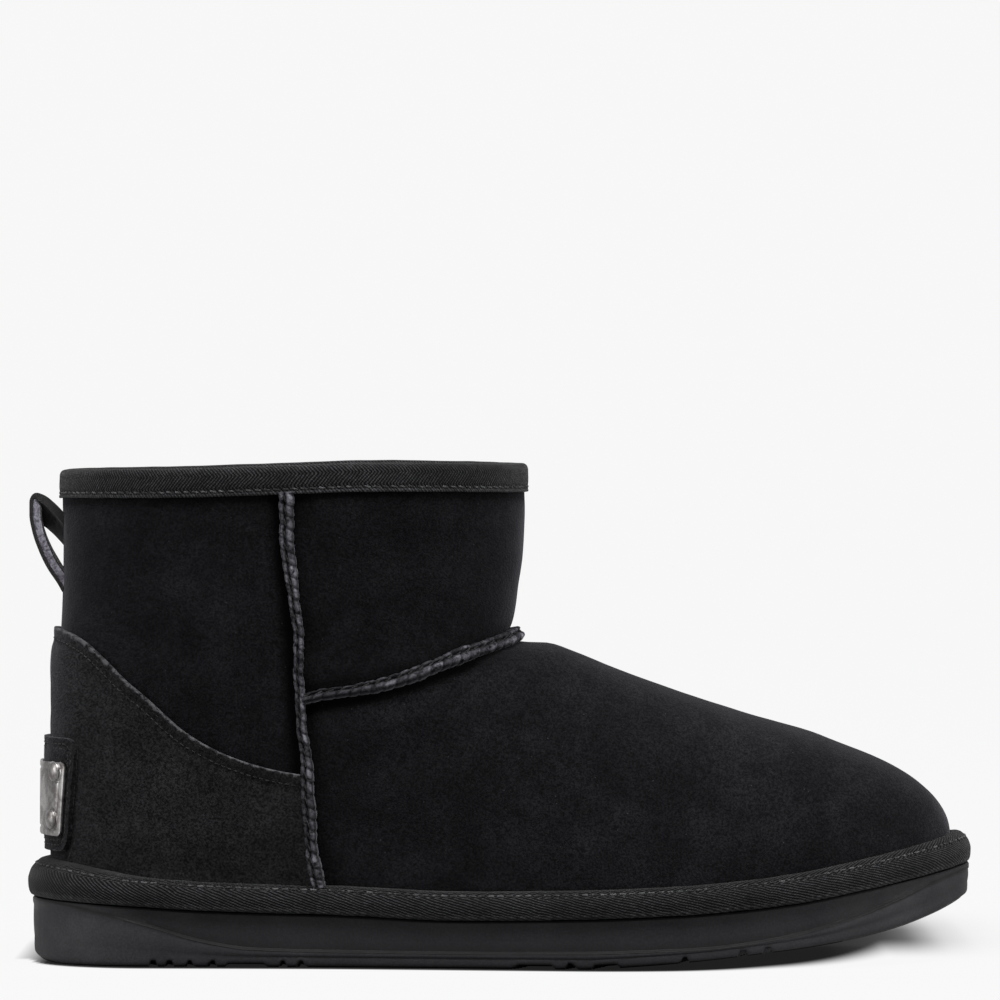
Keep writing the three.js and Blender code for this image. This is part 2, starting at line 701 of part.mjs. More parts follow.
function plateSolid() {
  let made = solid(bentRectangle(plate, 14, 4, plateLow, plateLow + plateThick));
  for (const place of rivetPlaces) {
    const hole = new THREE.CylinderGeometry(rivetHead.shank + seat, rivetHead.shank + seat, 6, 12);
    hole.rotateX(Math.PI / 2);
    made = made.subtract(solid(standOnHeel(hole, place, plateLow)));
  }
  return made;
}

// A rivet: a low dome over the plate and a shank through it, down to the patch
function rivetGeometry(place) {
  const { radius, rise, shank } = rivetHead;
  const under = plateThick + seat;
  const profile = [
    new THREE.Vector2(0, -plateThick),
    new THREE.Vector2(shank, -plateThick),
    new THREE.Vector2(shank, seat),
    new THREE.Vector2(radius, seat),
    new THREE.Vector2(radius * 0.95, seat + rise * 0.5),
    new THREE.Vector2(radius * 0.6, seat + rise * 0.9),
    new THREE.Vector2(0, seat + rise),
  ];
  const turned = new THREE.LatheGeometry(profile, 14);
  turned.rotateX(Math.PI / 2);
  return geometryFrom(solid(standOnHeel(turned, place, plateLow + under - seat)));
}

// The taped welt: a rounded band that lies on the sole's edge and against the upper
function weltGeometry() {
  const count = upperCount;
  const outer = soleLoop(count, -half, half, -weltOverhang, (x) => soleAt(x, "top") + seat);
  const foot = upperLevels.slice(0, 4).map((level) => offsetPlan(upperLoop(level, count), seat));
  const ends = outer.map((p) => {
    const heel = THREE.MathUtils.smoothstep(-p.x, 104, half);
    const toe = THREE.MathUtils.smoothstep(p.x, 100, half);
    return weltHeelExtra * heel + weltToeExtra * toe;
  });
  const sections = outer.map((edge, i) => {
    const rise = weltRise + ends[i];
    const base = edge.z;
    // Share 0 is at the upper's face and 1 at the tape's outermost line
    const point = (share, height) => {
      const z = THREE.MathUtils.clamp(base + height, foot[0][i].z, foot[3][i].z - 1e-6);
      const row = foot.findIndex((loop) => loop[i].z > z) - 1;
      const [low, high] = [foot[row][i], foot[row + 1][i]];
      const inner = new THREE.Vector3().lerpVectors(low, high, (z - low.z) / (high.z - low.z));
      const x = mix(inner.x, edge.x, share);
      return new THREE.Vector3(x, mix(inner.y, edge.y, share), soleAt(x, "top") + seat + height);
    };
    return [
      point(0, 0),
      point(0.86, 0),
      point(0.98, 0.14 * rise),
      point(1, 0.42 * rise),
      point(0.93, 0.68 * rise),
      point(0.7, 0.9 * rise),
      point(0.36, rise),
      point(0, 0.95 * rise),
      point(0, 0.45 * rise),
    ];
  });
  return sweep(sections.reverse(), true);
}

// The collar tape: a channel over the upper's top edge, sewn through both its sides
function collarGeometry() {
  const count = upperCount;
  const depth = collarBand + 0.3;
  const outside = seat + tapeThick;
  const insideFace = -wall - seat;
  const profile = [
    [outside, -depth],
    [outside, -1.2],
    [outside - 0.9, -0.2],
    [-wall / 2, 0],
    [insideFace, -0.2],
    [insideFace - tapeThick, -1.2],
    [insideFace - tapeThick, -depth],
    [insideFace, -depth],
    [insideFace, -rimDrop + seat],
    [seat, -rimDrop + seat],
    [seat, -depth],
  ];
  const span = bootHeight / 2;
  const levelStep = 1 / span;
  const grid = [2 - 9 * levelStep * 1.4, 2].map((level) => upperLoop(level, count));
  const lowNormals = gridNormals(grid, true);
  const sections = grid[1].map((top, i) => {
    const low = grid[0][i];
    const crown = top.z + rimDrop;
    return profile.map(([out, drop]) => {
      const t = (crown + drop - low.z) / (top.z - low.z);
      const base = new THREE.Vector3().lerpVectors(low, top, Math.min(t, 1)).setZ(crown + drop);
      const normal = lowNormals[1][i].clone().setZ(0).normalize();
      return base.addScaledVector(normal, out);
    });
  });
  return sweep(sections.reverse(), true);
}

// The footbed lies on the sole inside the upper
function insoleGeometry() {
  const thick = 4.6;
  const clear = wall + seat + 0.3;
  const loopAt = (level) => offsetPlan(upperLoop(level, 40), -clear);
  const low = loopAt(-1);
  const high = loopAt(-0.5).map((p, i) => p.setZ(low[i].z + thick));
  const crown = offsetPlan(high, -1.2).map((p) => p.setZ(p.z + 0.7));
  return loft([low, high, crown]);
}

// The pull loop: a strap bent over at the top, its side outline extruded across the heel. Its upper leg is
// sewn on aslant, so the outline slopes across the strap's width there.
const loopWide = 13;
const loopSlope = 0.55;
const loopOutline = [
  { x: -127.6, z: 107.6, slant: 0 },
  { x: -130.5, z: 112, slant: 0 },
  { x: -132.9, z: 116.3, slant: 0 },
  { x: -135, z: 121.2, slant: 0.1 },
  { x: -136.6, z: 127, slant: 0.35 },
  { x: -136.9, z: 133, slant: 0.75 },
  { x: -136.3, z: 135.9, slant: 1 },
  { x: -134.9, z: 136.4, slant: 1 },
  { x: -131.4, z: 134.6, slant: 1 },
  { x: -129.4, z: 133, slant: 1 },
  { x: -127.6, z: 131, slant: 1 },
  { x: -127.6, z: 128.2, slant: 1 },
  { x: -129.6, z: 130.4, slant: 1 },
  { x: -131.9, z: 132, slant: 1 },
  { x: -133.2, z: 132.3, slant: 0.9 },
  { x: -132.8, z: 127.6, slant: 0.35 },
  { x: -131.7, z: 122.2, slant: 0.1 },
  { x: -129.7, z: 117.3, slant: 0 },
  { x: -127.6, z: 113.6, slant: 0 },
];

function loopGeometry() {
  const shape = new THREE.Shape(loopOutline.map((p) => new THREE.Vector2(p.x, p.z)));
  const strap = new THREE.ExtrudeGeometry(shape, { depth: loopWide, steps: 3, bevelEnabled: false });
  strap.rotateX(Math.PI / 2);
  strap.translate(0, loopWide / 2, 0);
  const position = strap.getAttribute("position");
  for (let i = 0; i < position.count; i++) {
    const x = position.getX(i);
    const z = position.getZ(i);
    const row = loopOutline.find((p) => Math.hypot(p.x - x, p.z - z) < 1e-3);
    const across = position.getY(i) + loopWide / 2;
    position.setZ(i, z - loopSlope * across * row.slant);
  }
  return geometryFrom(solid(strap));
}

// Materials
const finish = (color, roughness, metalness = 0) =>
  new THREE.MeshStandardMaterial({ color, roughness, metalness });
const suede = finish(0x17171a, 0.95);
const counterSuede = finish(0x232325, 0.92);
const foam = finish(0x2a2a2d, 0.7);
const twill = finish(0x28282b, 0.85);
const fleece = finish(0x1c1c1e, 1);
const strapCloth = finish(0x1e1b1c, 0.8);
const brushedSteel = finish(0x8d8886, 0.35, 1);

const boot = new THREE.Group();

function add(name, geometry, material) {
  const mesh = new THREE.Mesh(geometry, material);
  mesh.name = name;
  boot.add(mesh);
}

add("sole", geometryFrom(soleSolid()), foam);
add("welt_binding", weltGeometry(), twill);
add("insole", insoleGeometry(), fleece);
add("upper", geometryFrom(upperSolid()), suede);
add("heel_counter", counterGeometry(), counterSuede);
add("collar_binding", collarGeometry(), twill);
add("pull_loop", loopGeometry(), strapCloth);
add("badge_patch", bentRectangle(patch, 16, 5, patchLow, patchLow + patchThick), suede);
add("badge_plate", geometryFrom(plateSolid()), brushedSteel);
rivetPlaces.forEach((place, i) => add(`badge_rivet_${i + 1}`, rivetGeometry(place), brushedSteel));

export default boot;
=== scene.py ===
# %% [markdown]
# # A black sheepskin ankle boot
# The packed model comes in as a fixed frame, and every visible piece is built over it in metres, in the same
# place. Sizes are written in millimetres and turned into metres where a mesh gets its points.

from math import pi, radians

import bpy
import numpy as np
from mathutils import Matrix, Vector, noise


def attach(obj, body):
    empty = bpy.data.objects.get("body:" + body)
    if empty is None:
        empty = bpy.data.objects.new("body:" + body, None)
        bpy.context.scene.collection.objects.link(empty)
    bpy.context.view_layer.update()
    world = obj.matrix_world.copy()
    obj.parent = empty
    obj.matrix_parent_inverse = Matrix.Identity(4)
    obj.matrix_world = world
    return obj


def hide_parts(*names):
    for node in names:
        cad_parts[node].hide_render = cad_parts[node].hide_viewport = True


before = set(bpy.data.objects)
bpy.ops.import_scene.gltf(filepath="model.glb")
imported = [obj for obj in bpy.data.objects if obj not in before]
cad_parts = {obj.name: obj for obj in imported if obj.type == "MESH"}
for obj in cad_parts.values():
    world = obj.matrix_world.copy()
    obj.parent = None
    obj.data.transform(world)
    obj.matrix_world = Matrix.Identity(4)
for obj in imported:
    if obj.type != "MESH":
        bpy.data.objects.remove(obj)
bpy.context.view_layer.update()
MM = 0.001
print("nodes:", sorted(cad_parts))

# %% [markdown]
# ## Camera
# The photograph is a level side view from far off, as a shop takes them. A long lens 2.4 m away, 168 mm above
# the floor and tipped down by less than a degree, gives the same slight view of the near edge of the sole.

# %% Camera
CAMERA_AWAY, CAMERA_HIGH, TIPPED_DOWN = 2.4, 0.168, 0.8185  # metres, metres, degrees
LENS, SENSOR = 296.6, 36
bpy.ops.object.select_all(action="DESELECT")
bpy.ops.object.camera_add(location=(0, -CAMERA_AWAY, CAMERA_HIGH), rotation=(radians(90 - TIPPED_DOWN), 0, 0))
camera = bpy.context.object
camera.data.lens = LENS
camera.data.sensor_width = SENSOR
camera.data.clip_end = 30
bpy.context.scene.camera = camera
bpy.context.scene.view_settings.view_transform = "Standard"
print("camera at", tuple(camera.location))

# %% [markdown]
# ## Studio
# The boot stands on a pale sweep of card that is evenly lit and glows a little, so no horizon or hard shadow
# shows. A wide soft box hangs in front and above, and two tall ones stand behind the toe and the heel, where
# they catch the nap along the edges of the suede.


# %% Sweep of card
def plain_material(name, color, roughness=0.6, **sockets):
    material = bpy.data.materials.new(name)
    material.use_nodes = True
    shader = material.node_tree.nodes["Principled BSDF"]
    shader.inputs["Base Color"].default_value = (*color, 1)
    shader.inputs["Roughness"].default_value = roughness
    for socket, value in sockets.items():
        shader.inputs[socket.replace("_", " ")].default_value = value
    return material


CARD_SIZE, CARD_WALL, CARD_CURVE = 8, 4, 0.8
bpy.ops.object.select_all(action="DESELECT")
bpy.ops.mesh.primitive_plane_add(size=CARD_SIZE, location=(0, 0, -0.0002))
sweep = bpy.context.object
sweep.name = "sweep"
bpy.ops.object.mode_set(mode="EDIT")
bpy.ops.mesh.select_mode(type="EDGE")
bpy.ops.mesh.select_all(action="DESELECT")
bpy.ops.object.mode_set(mode="OBJECT")
for edge in sweep.data.edges:
    edge.select = all(sweep.data.vertices[i].co.y > CARD_SIZE / 2 - 0.1 for i in edge.vertices)
bpy.ops.object.mode_set(mode="EDIT")
bpy.ops.mesh.extrude_region_move(TRANSFORM_OT_translate={"value": (0, 0, CARD_WALL)})
bpy.ops.mesh.select_all(action="SELECT")
bpy.ops.mesh.bevel(offset=CARD_CURVE, segments=12)
bpy.ops.object.mode_set(mode="OBJECT")
bpy.ops.object.shade_smooth()
card = plain_material("card", (0.005, 0.005, 0.005), 1, Specular_IOR_Level=0, Emission_Strength=0.927)
card_shadow = card.node_tree.nodes.new("ShaderNodeAttribute")
card_shadow.attribute_name = "shadow"
card_light = card.node_tree.nodes.new("ShaderNodeValToRGB")
card_light.color_ramp.elements[0].color = (1, 1, 1, 1)
card_light.color_ramp.elements[1].color = (0, 0, 0, 1)
card_shader = card.node_tree.nodes["Principled BSDF"]
card.node_tree.links.new(card_shadow.outputs["Fac"], card_light.inputs["Fac"])
card.node_tree.links.new(card_light.outputs["Color"], card_shader.inputs["Emission Color"])
sweep.data.materials.append(card)
print("sweep of card:", len(sweep.data.polygons), "faces")


# %% Lights
def soft_box(name, place, aim, width, height, power):
    bpy.ops.object.light_add(type="AREA", location=place)
    lamp = bpy.context.object
    lamp.name = name
    lamp.data.shape = "RECTANGLE"
    lamp.data.size, lamp.data.size_y = width, height
    lamp.data.energy = power
    lamp.rotation_euler = (Vector(aim) - Vector(place)).to_track_quat("-Z", "Y").to_euler()
    return lamp


soft_box("top box", (0.1, -0.7, 1.9), (0, 0, 0.06), 1.4, 0.9, 118)
soft_box("toe box", (1.3, -0.35, 0.5), (0.1, 0, 0.04), 0.5, 1.0, 20)
soft_box("heel box", (-1.3, -0.4, 0.45), (-0.12, 0, 0.04), 0.5, 1.0, 20)
world = bpy.data.worlds.new("studio")
bpy.context.scene.world = world
world.use_nodes = True
world.node_tree.nodes["Background"].inputs["Color"].default_value = (1, 1, 1, 1)
world.node_tree.nodes["Background"].inputs["Strength"].default_value = 0.2

# %% [markdown]
# ## The last
# A boot is sewn flat and then pulled over a last, a wooden or plastic foot, which gives it all its shape.
# The last here is a few tables read from the photograph: the plan of the sole, the sole from the side, the
# ridge of the foot, and the shaft by height. The same tables make the solids of the model.

# %% Named sizes
HALF = 137.5  # half the length over the welt
BALL_HALF = 48
SEAT = 0.3  # gap between pieces that lie on each other
SOLE_HEEL_X, SOLE_TOE_X = -HALF + 1.4, HALF - 0.5
WELT_OVERHANG = 1.3
STEP_DEPTH = 1.5
HEEL_CAP, TOE_CAP = 34, 50
HEEL_ROUND, TOE_ROUND = 2, 2.45
TOE_X = HALF - 6
UPPER_INSET = 3.2
BULGE_RISE = 9
TUCK_IN = 1.8
WALL = 4
DOME_CAP, DOME_ROUND = 27, 2.2
SHAFT_ROUND = 2.15
WELT_RISE, WELT_HEEL_EXTRA, WELT_TOE_EXTRA = 8.3, 2.7, 0.2
COLLAR_BAND, TAPE_THICK, RIM_DROP = 8, 0.9, 1.5
print("the boot is", 2 * HALF, "mm long over the welt")

# %% The sole in plan and from the side
# share of the half length: outer half breadth, inner half breadth, spine, as shares of BALL_HALF
PLAN = [
    (-1, 0.7, 0.7, 0),
    (-0.655, 0.73, 0.715, 0),
    (-0.4, 0.765, 0.685, 0),
    (-0.182, 0.835, 0.665, 0),
    (0.036, 0.927, 0.725, 0),
    (0.218, 0.99, 0.854, 0.04),
    (0.364, 1, 0.955, 0.083),
    (0.49, 0.968, 1, 0.107),
    (0.618, 0.896, 0.99, 0.125),
    (0.764, 0.76, 0.915, 0.14),
    (1, 0.46, 0.69, 0.146),
]
OUTER, INNER, SPINE = 1, 2, 3
# share of the half length: height of the sole's top face, of the step in its side, and of its tread
SOLE = [
    (-1, 18.7, 18.3, 2.8),
    (-0.96, 18.4, 17.8, 0.5),
    (-0.915, 18.1, 17.2, 0),
    (-0.84, 17.6, 15.3, 0),
    (-0.735, 16.8, 11.7, 0),
    (-0.63, 15.9, 7.5, 0),
    (-0.52, 15.4, 5.1, 0),
    (-0.36, 14.9, 4.5, 0),
    (-0.1, 13.5, 4.3, 0),
    (0.18, 14.1, 4.6, 0),
    (0.28, 14.6, 5, 0.8),
    (0.425, 15.7, 5.9, 2.5),
    (0.54, 17.1, 7.7, 4.3),
    (0.63, 18.6, 10, 5.7),
    (0.727, 20.9, 13.6, 7.7),
    (0.836, 23.6, 19, 10.9),
    (0.916, 25.8, 23.6, 14.4),
    (1, 28.3, 26.9, 19.3),
]
TOP, STEP, UNDER = 1, 2, 3
print("rows of the plan and of the sole:", len(PLAN), len(SOLE))

# %% The ridge of the foot and the shaft
# share of the half length: ridge of the foot, and the two powers that say how square its sections are
RIDGE_TABLE = [
    (-1, 120, 3, 2),
    (-0.436, 116, 3.1, 2),
    (-0.204, 108, 3.1, 2),
    (0, 96.5, 3, 2),
    (0.04, 94.1, 2.95, 2),
    (0.07, 93.1, 2.85, 2),
    (0.1, 92.5, 2.75, 2),
    (0.16, 89.6, 2.6, 2),
    (0.263, 83.8, 2.4, 2),
    (0.415, 76.1, 2.15, 2.05),
    (0.567, 69.6, 2, 2.1),
    (0.67, 65.5, 2, 2.15),
    (0.74, 61.8, 2, 2.15),
    (0.82, 58, 2, 2.2),
    (1, 52.5, 2, 2.2),
]
RIDGE, RISE, SPREAD = 1, 2, 3
# height: back and front of the shaft, and half its breadth
SHAFT = [
    (22, -128.4, -12, 28),
    (40, -129.3, -10, 33),
    (60, -129.2, -6, 36.5),
    (80, -129, -1, 39.4),
    (90, -128.6, 1.6, 40.6),
    (98, -127.8, 3.8, 41.5),
    (109, -127.3, 5.4, 42.6),
    (123, -127.2, 6.9, 43.9),
    (133, -127.3, 7.2, 44.7),
    (150, -126.6, 6.7, 45.6),
]
BACK, FRONT, SIDE = 1, 2, 3
print("rows of the ridge and of the shaft:", len(RIDGE_TABLE), len(SHAFT))

# %% Lines where the skin is cut and sewn
# share of the half length: height of the collar's crown, and of the instep seam
CUTS = [
    (-0.95, 142.4, 62),
    (-0.89, 142.9, 64),
    (-0.7, 143.2, 69.5),
    (-0.4, 144.5, 77.6),
    (-0.29, 145, 80),
    (-0.204, 145, 83.2),
    (-0.125, 144.9, 86.9),
    (-0.04, 144.7, 91.2),
    (0.036, 144.5, 94.7),
    (1, 144.5, 134),
]
COLLAR, INSTEP = 1, 2
# height: place of the side seams
SIDE_SEAM = [(20, -51.8), (40, -54.5), (60, -55.9), (77, -57.2), (94, -57.9), (117, -60.2), (140, -61.6)]
# share of the half length: height of the counter's cut edge
COUNTER_TOP = [
    (-0.94, 96.8),
    (-0.91, 95.6),
    (-0.873, 93.1),
    (-0.828, 88.2),
    (-0.783, 82.4),
    (-0.738, 77.4),
    (-0.648, 66.9),
    (-0.56, 60.6),
    (-0.472, 56.9),
    (-0.4, 55.2),
]
print("the collar is", max(row[COLLAR] for row in CUTS), "mm high")


# %% Reading the tables
def table(rows, column, where):
    """A smooth value at each place in where, with no overshoot between rows"""
    rows = np.array(rows, float)
    x, y = rows[:, 0], rows[:, column]
    slope = np.diff(y) / np.diff(x)
    same = slope[:-1] * slope[1:] > 0
    total = np.where(same, slope[:-1] + slope[1:], 1)
    inner = np.where(same, 2 * slope[:-1] * slope[1:] / total, 0)
    tangent = np.concatenate([slope[:1], inner, slope[-1:]])
    where = np.clip(np.asarray(where, float), x[0], x[-1])
    i = np.clip(np.searchsorted(x, where, side="right") - 1, 0, len(x) - 2)
    span = x[i + 1] - x[i]
    t = (where - x[i]) / span
    return (
        y[i] * (2 * t**3 - 3 * t**2 + 1)
        + tangent[i] * span * (t**3 - 2 * t**2 + t)
        + y[i + 1] * (3 * t**2 - 2 * t**3)
        + tangent[i + 1] * span * (t**3 - t**2)
    )


def smoothstep(value, low, high):
    t = np.clip((value - low) / (high - low), 0, 1)
    return t * t * (3 - 2 * t)


def mix(a, b, t):
    return a + (b - a) * t


def plan(x, column):
    return BALL_HALF * table(PLAN, column, x / HALF)


def sole_z(x, column):
    return table(SOLE, column, x / HALF)


def shaft(z, column):
    return table(SHAFT, column, z)


def cut(x, column):
    return table(CUTS, column, x / HALF)


def side_seam_x(z):
    return table(SIDE_SEAM, 1, z)


def counter_top(x):
    return table(COUNTER_TOP, 1, x / HALF)


print("sole 100 mm behind the middle is", float(sole_z(-100.0, TOP)), "mm thick")


# %% The foot, the shaft and the upper's reach to each side
def rounded_end(distance, cap, power):
    t = np.clip(distance / cap, 0, 1)
    return (1 - (1 - t) ** power) ** (1 / power)


def plan_reach(x, side, heel_x, front_x, inset, share=1.0):
    spine = plan(x, SPINE) * side
    breadth = np.where(side < 0, plan(x, OUTER), plan(x, INNER)) - inset
    ends = rounded_end(x - heel_x, HEEL_CAP, HEEL_ROUND) * rounded_end(front_x - x, TOE_CAP, TOE_ROUND)
    return spine + (breadth - spine) * ends * share


def bulge_z(x):
    return sole_z(x, TOP) + BULGE_RISE


def ridge_z(x):
    top = table(RIDGE_TABLE, RIDGE, x / HALF)
    return bulge_z(x) + (top - bulge_z(x)) * rounded_end(TOE_X - x, DOME_CAP, DOME_ROUND)


NOWHERE = -1000  # a reach that means the form isn't there


def foot_reach(x, z, side):
    low, high = bulge_z(x), ridge_z(x)
    q = np.clip((z - low) / np.maximum(high - low, 1e-6), 0, 1)
    rise, spread = table(RIDGE_TABLE, RISE, x / HALF), table(RIDGE_TABLE, SPREAD, x / HALF)
    share = (1 - q**rise) ** (1 / spread)
    reach = plan_reach(x, side, shaft(z, BACK), TOE_X, UPPER_INSET, share)
    return np.where(z > high, NOWHERE, reach)


def shaft_reach(x, z):
    back, front = shaft(z, BACK), shaft(z, FRONT)
    s = np.clip(np.abs((x - (back + front) / 2) / ((front - back) / 2)), 0, 1)
    return np.where(s >= 1, NOWHERE, shaft(z, SIDE) * (1 - s**SHAFT_ROUND) ** (1 / SHAFT_ROUND))


def upper_reach(x, z, side):
    """How far the upper stands out from Y = 0 to a side (-1 outer, 1 inner)"""
    x, z, side = np.broadcast_arrays(np.asarray(x, float), np.asarray(z, float), np.asarray(side, float))
    foot, leg = foot_reach(x, z, side), shaft_reach(x, z)
    most = np.maximum(foot, leg)
    # the hollow between foot and shaft is 8 mm wide at the heel, 15 at the ankle and 2.5 at the instep
    soft = mix(mix(8, 15, smoothstep(x, -70, -45)), 2.5, smoothstep(x, -24, -2))
    soft = np.minimum(soft, most / 2)
    near = np.maximum(soft - np.abs(foot - leg), 0) / np.maximum(soft, 1e-6)
    both = most + near * near * soft / 4
    one_form = np.where(most == NOWHERE, 0, most)
    return np.where(np.minimum(foot, leg) == NOWHERE, one_form, both)


print("breadth at the ball:", float(upper_reach(40, 30, -1) + upper_reach(40, 30, 1)))


# %% Loops round the upper
def level_z(x, level):
    """Height of a level at x: 0 is the widest line, 1 the instep seam, 2 the upper's top edge"""
    low = mix(bulge_z(x), cut(x, INSTEP), np.clip(level, 0, 1))
    high = mix(cut(x, INSTEP), cut(x, COLLAR) - RIM_DROP, level - 1)
    return np.where(level <= 1, low, high)


def bisect(low, high, is_past):
    for _ in range(40):
        middle = (low + high) / 2
        past = is_past(middle)
        low, high = np.where(past, low, middle), np.where(past, middle, high)
    return (low + high) / 2


def level_ends(level):
    level = np.asarray(level, float)
    full = np.ones_like(level)
    back = bisect(-HALF * full, -100 * full, lambda x: x > shaft(level_z(x, level), BACK))
    vamp = bisect(0 * full, TOE_X * full, lambda x: level_z(x, level) > ridge_z(x))
    leg = bisect(-20 * full, 30 * full, lambda x: x > shaft(level_z(x, level), FRONT))
    over = np.where(level_z(0 * full, level) < ridge_z(0 * full), vamp, leg)
    front = np.where(level <= 0, TOE_X, np.where(level <= 1, vamp, np.maximum(over, leg)))
    return back, front


def upper_loops(levels, count):
    """Points of the upper's outer face: a row for each level, from the heel round the outer side"""
    levels = np.asarray(levels, float)[:, None]
    turn = np.linspace(0, 2 * pi, count + 1)[None, :]
    back, front = level_ends(levels)
    side = np.where(turn <= pi + 1e-9, -1.0, 1.0)
    x = mix(back, front, (1 - np.cos(turn)) / 2)
    z = level_z(x, levels)
    at_end = np.abs(np.sin(turn)) < 1e-9
    end_y = np.where(levels <= 1, plan(x, SPINE), 0)
    y = np.where(at_end, end_y, side * upper_reach(x, z, side))
    loops = np.stack([x, y, z], axis=-1)
    below = np.maximum(-levels[:, 0], 0)
    for row in np.nonzero(below > 0)[0]:
        loops[row] = offset_plan(loops[row], -TUCK_IN * below[row] ** 1.5)
        loops[row, :, 2] -= below[row] * (BULGE_RISE - SEAT)
    return loops


def offset_plan(loop, distance):
    """A closed loop, its last point on its first, moved outwards as seen from above"""
    along = np.roll(loop[:-1], -1, axis=0) - np.roll(loop[:-1], 1, axis=0)
    along = np.vstack([along, along[:1]])
    length = np.hypot(along[:, 0], along[:, 1])
    moved = loop.copy()
    moved[:, 0] += along[:, 1] / length * distance
    moved[:, 1] -= along[:, 0] / length * distance
    return moved


print("upper runs from", level_ends(1.0)[0], "to", TOE_X)

# %% [markdown]
# ## Laying a grid on a form
# Nearly every piece of a boot is a sheet that follows the last: skin, tape, counter, strap. So one helper adds
# a flat grid with Blender's own operator, sets its points on rows of places worked out above, and welds the
# edges that meet. The grid keeps its UV map, which runs along and across the piece, so a woven pattern can
# follow it.


# %% Grid helpers
def run_along(points):
    """Length of the way along a line of points, up to each of them"""
    return np.concatenate([[0], np.cumsum(np.linalg.norm(np.diff(points, axis=0), axis=1))])


def grid_normals(points, round_u=False, round_v=False):
    """Outward direction at each point of an array of rows"""

    def change(axis, is_round):
        if is_round:
            body = points[:, :-1] if axis else points[:-1]
            step = np.roll(body, -1, axis) - np.roll(body, 1, axis)
            return np.concatenate([step, step[:, :1] if axis else step[:1]], axis)
        return np.gradient(points, axis=axis)

    normal = np.cross(change(1, round_u), change(0, round_v))
    return normal / np.maximum(np.linalg.norm(normal, axis=-1, keepdims=True), 1e-9)


def even_normals(points, rounds, round_u=True):
    """The same, evened out, so that an offset keeps clear of itself at a crease"""
    normal = grid_normals(points, round_u)
    for _ in range(rounds):
        side = np.roll(normal[:, :-1], 1, 1) + np.roll(normal[:, :-1], -1, 1)
        side = np.concatenate([side, side[:, :1]], 1)
        up = np.vstack([normal[:1], normal[:-1]]) + np.vstack([normal[1:], normal[-1:]])
        normal = 2 * normal + side + up
        normal /= np.linalg.norm(normal, axis=-1, keepdims=True)
    return normal


def only(piece):
    """Makes piece the one selected and active object"""
    bpy.ops.object.select_all(action="DESELECT")
    piece.select_set(True)
    bpy.context.view_layer.objects.active = piece


def weld(piece, distance=1e-6):
    only(piece)
    bpy.ops.object.mode_set(mode="EDIT")
    bpy.ops.mesh.select_all(action="SELECT")
    bpy.ops.mesh.remove_doubles(threshold=distance)
    bpy.ops.object.mode_set(mode="OBJECT")


def lay_grid(name, points, **values):
    """A mesh grid whose rows and columns lie on points, an array of rows in millimetres. Each of values holds a
    number for each point, which a material reads by its name."""
    rows, columns = points.shape[0] - 1, points.shape[1] - 1
    bpy.ops.object.select_all(action="DESELECT")
    bpy.ops.mesh.primitive_grid_add(x_subdivisions=columns, y_subdivisions=rows, size=1)
    piece = bpy.context.object
    piece.name = piece.data.name = name
    flat = np.empty(len(piece.data.vertices) * 3)
    piece.data.vertices.foreach_get("co", flat)
    flat = flat.reshape(-1, 3)
    i = np.rint((flat[:, 0] + 0.5) * columns).astype(int)
    j = np.rint((flat[:, 1] + 0.5) * rows).astype(int)
    piece.data.vertices.foreach_set("co", (points[j, i] * MM).ravel())
    for key, value in values.items():
        layer = piece.data.attributes.new(key, "FLOAT", "POINT")
        layer.data.foreach_set("value", value[j, i].astype(np.float32))
    piece.data.update()
    weld(piece)
    bpy.ops.object.shade_smooth()
    print("grid", name, "is", rows, "by", columns)
    return piece


def thicken(piece, thickness, offset=-1.0, edge=0.0):
    """Gives a sheet its thickness, and rounds its edges off by edge millimetres"""
    only(piece)
    solidify = piece.modifiers.new("thickness", "SOLIDIFY")
    solidify.thickness, solidify.offset, solidify.use_even_offset = thickness * MM, offset, False
    bpy.ops.object.modifier_apply(modifier=solidify.name)
    if edge:
        bevel = piece.modifiers.new("edge", "BEVEL")
        bevel.width, bevel.segments, bevel.limit_method, bevel.angle_limit = edge * MM, 3, "ANGLE", radians(50)
        bpy.ops.object.modifier_apply(modifier=bevel.name)


def close_holes(piece):
    """Fills a piece's open ends and turns all its faces outwards"""
    only(piece)
    bpy.ops.object.mode_set(mode="EDIT")
    bpy.ops.mesh.select_all(action="DESELECT")
    bpy.ops.mesh.select_non_manifold()
    bpy.ops.mesh.fill_holes(sides=0)
    bpy.ops.mesh.select_all(action="SELECT")
    bpy.ops.mesh.normals_make_consistent(inside=False)
    bpy.ops.object.mode_set(mode="OBJECT")


def mark(piece, name, value_of):
    """Stores a number at each point, from value_of(x, y, z) in millimetres, for a material to read"""
    flat = np.empty(len(piece.data.vertices) * 3)
    piece.data.vertices.foreach_get("co", flat)
    x, y, z = (flat.reshape(-1, 3) / MM).T
    layer = piece.data.attributes.new(name, "FLOAT", "POINT")
    layer.data.foreach_set("value", np.asarray(value_of(x, y, z), np.float32))


def finish_piece(piece, material, slot, *nodes):
    """Material, body and node of a made piece"""
    if material is not None:
        piece.data.materials.clear()
        piece.data.materials.append(material)
    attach(piece, "root")
    if nodes:
        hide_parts(*nodes)
    piece.data.calc_loop_triangles()
    print(piece.name, len(piece.data.loop_triangles), "triangles")


def lumps(x, y, z, size, seed=0):
    """Smooth noise from -1 to 1 over an array of points, with lumps about size millimetres across"""
    flat = np.stack(np.broadcast_arrays(x, y, z), -1).reshape(-1, 3) / size + seed
    values = [noise.noise(Vector(p)) for p in flat]
    return np.array(values).reshape(np.broadcast(x, y, z).shape)


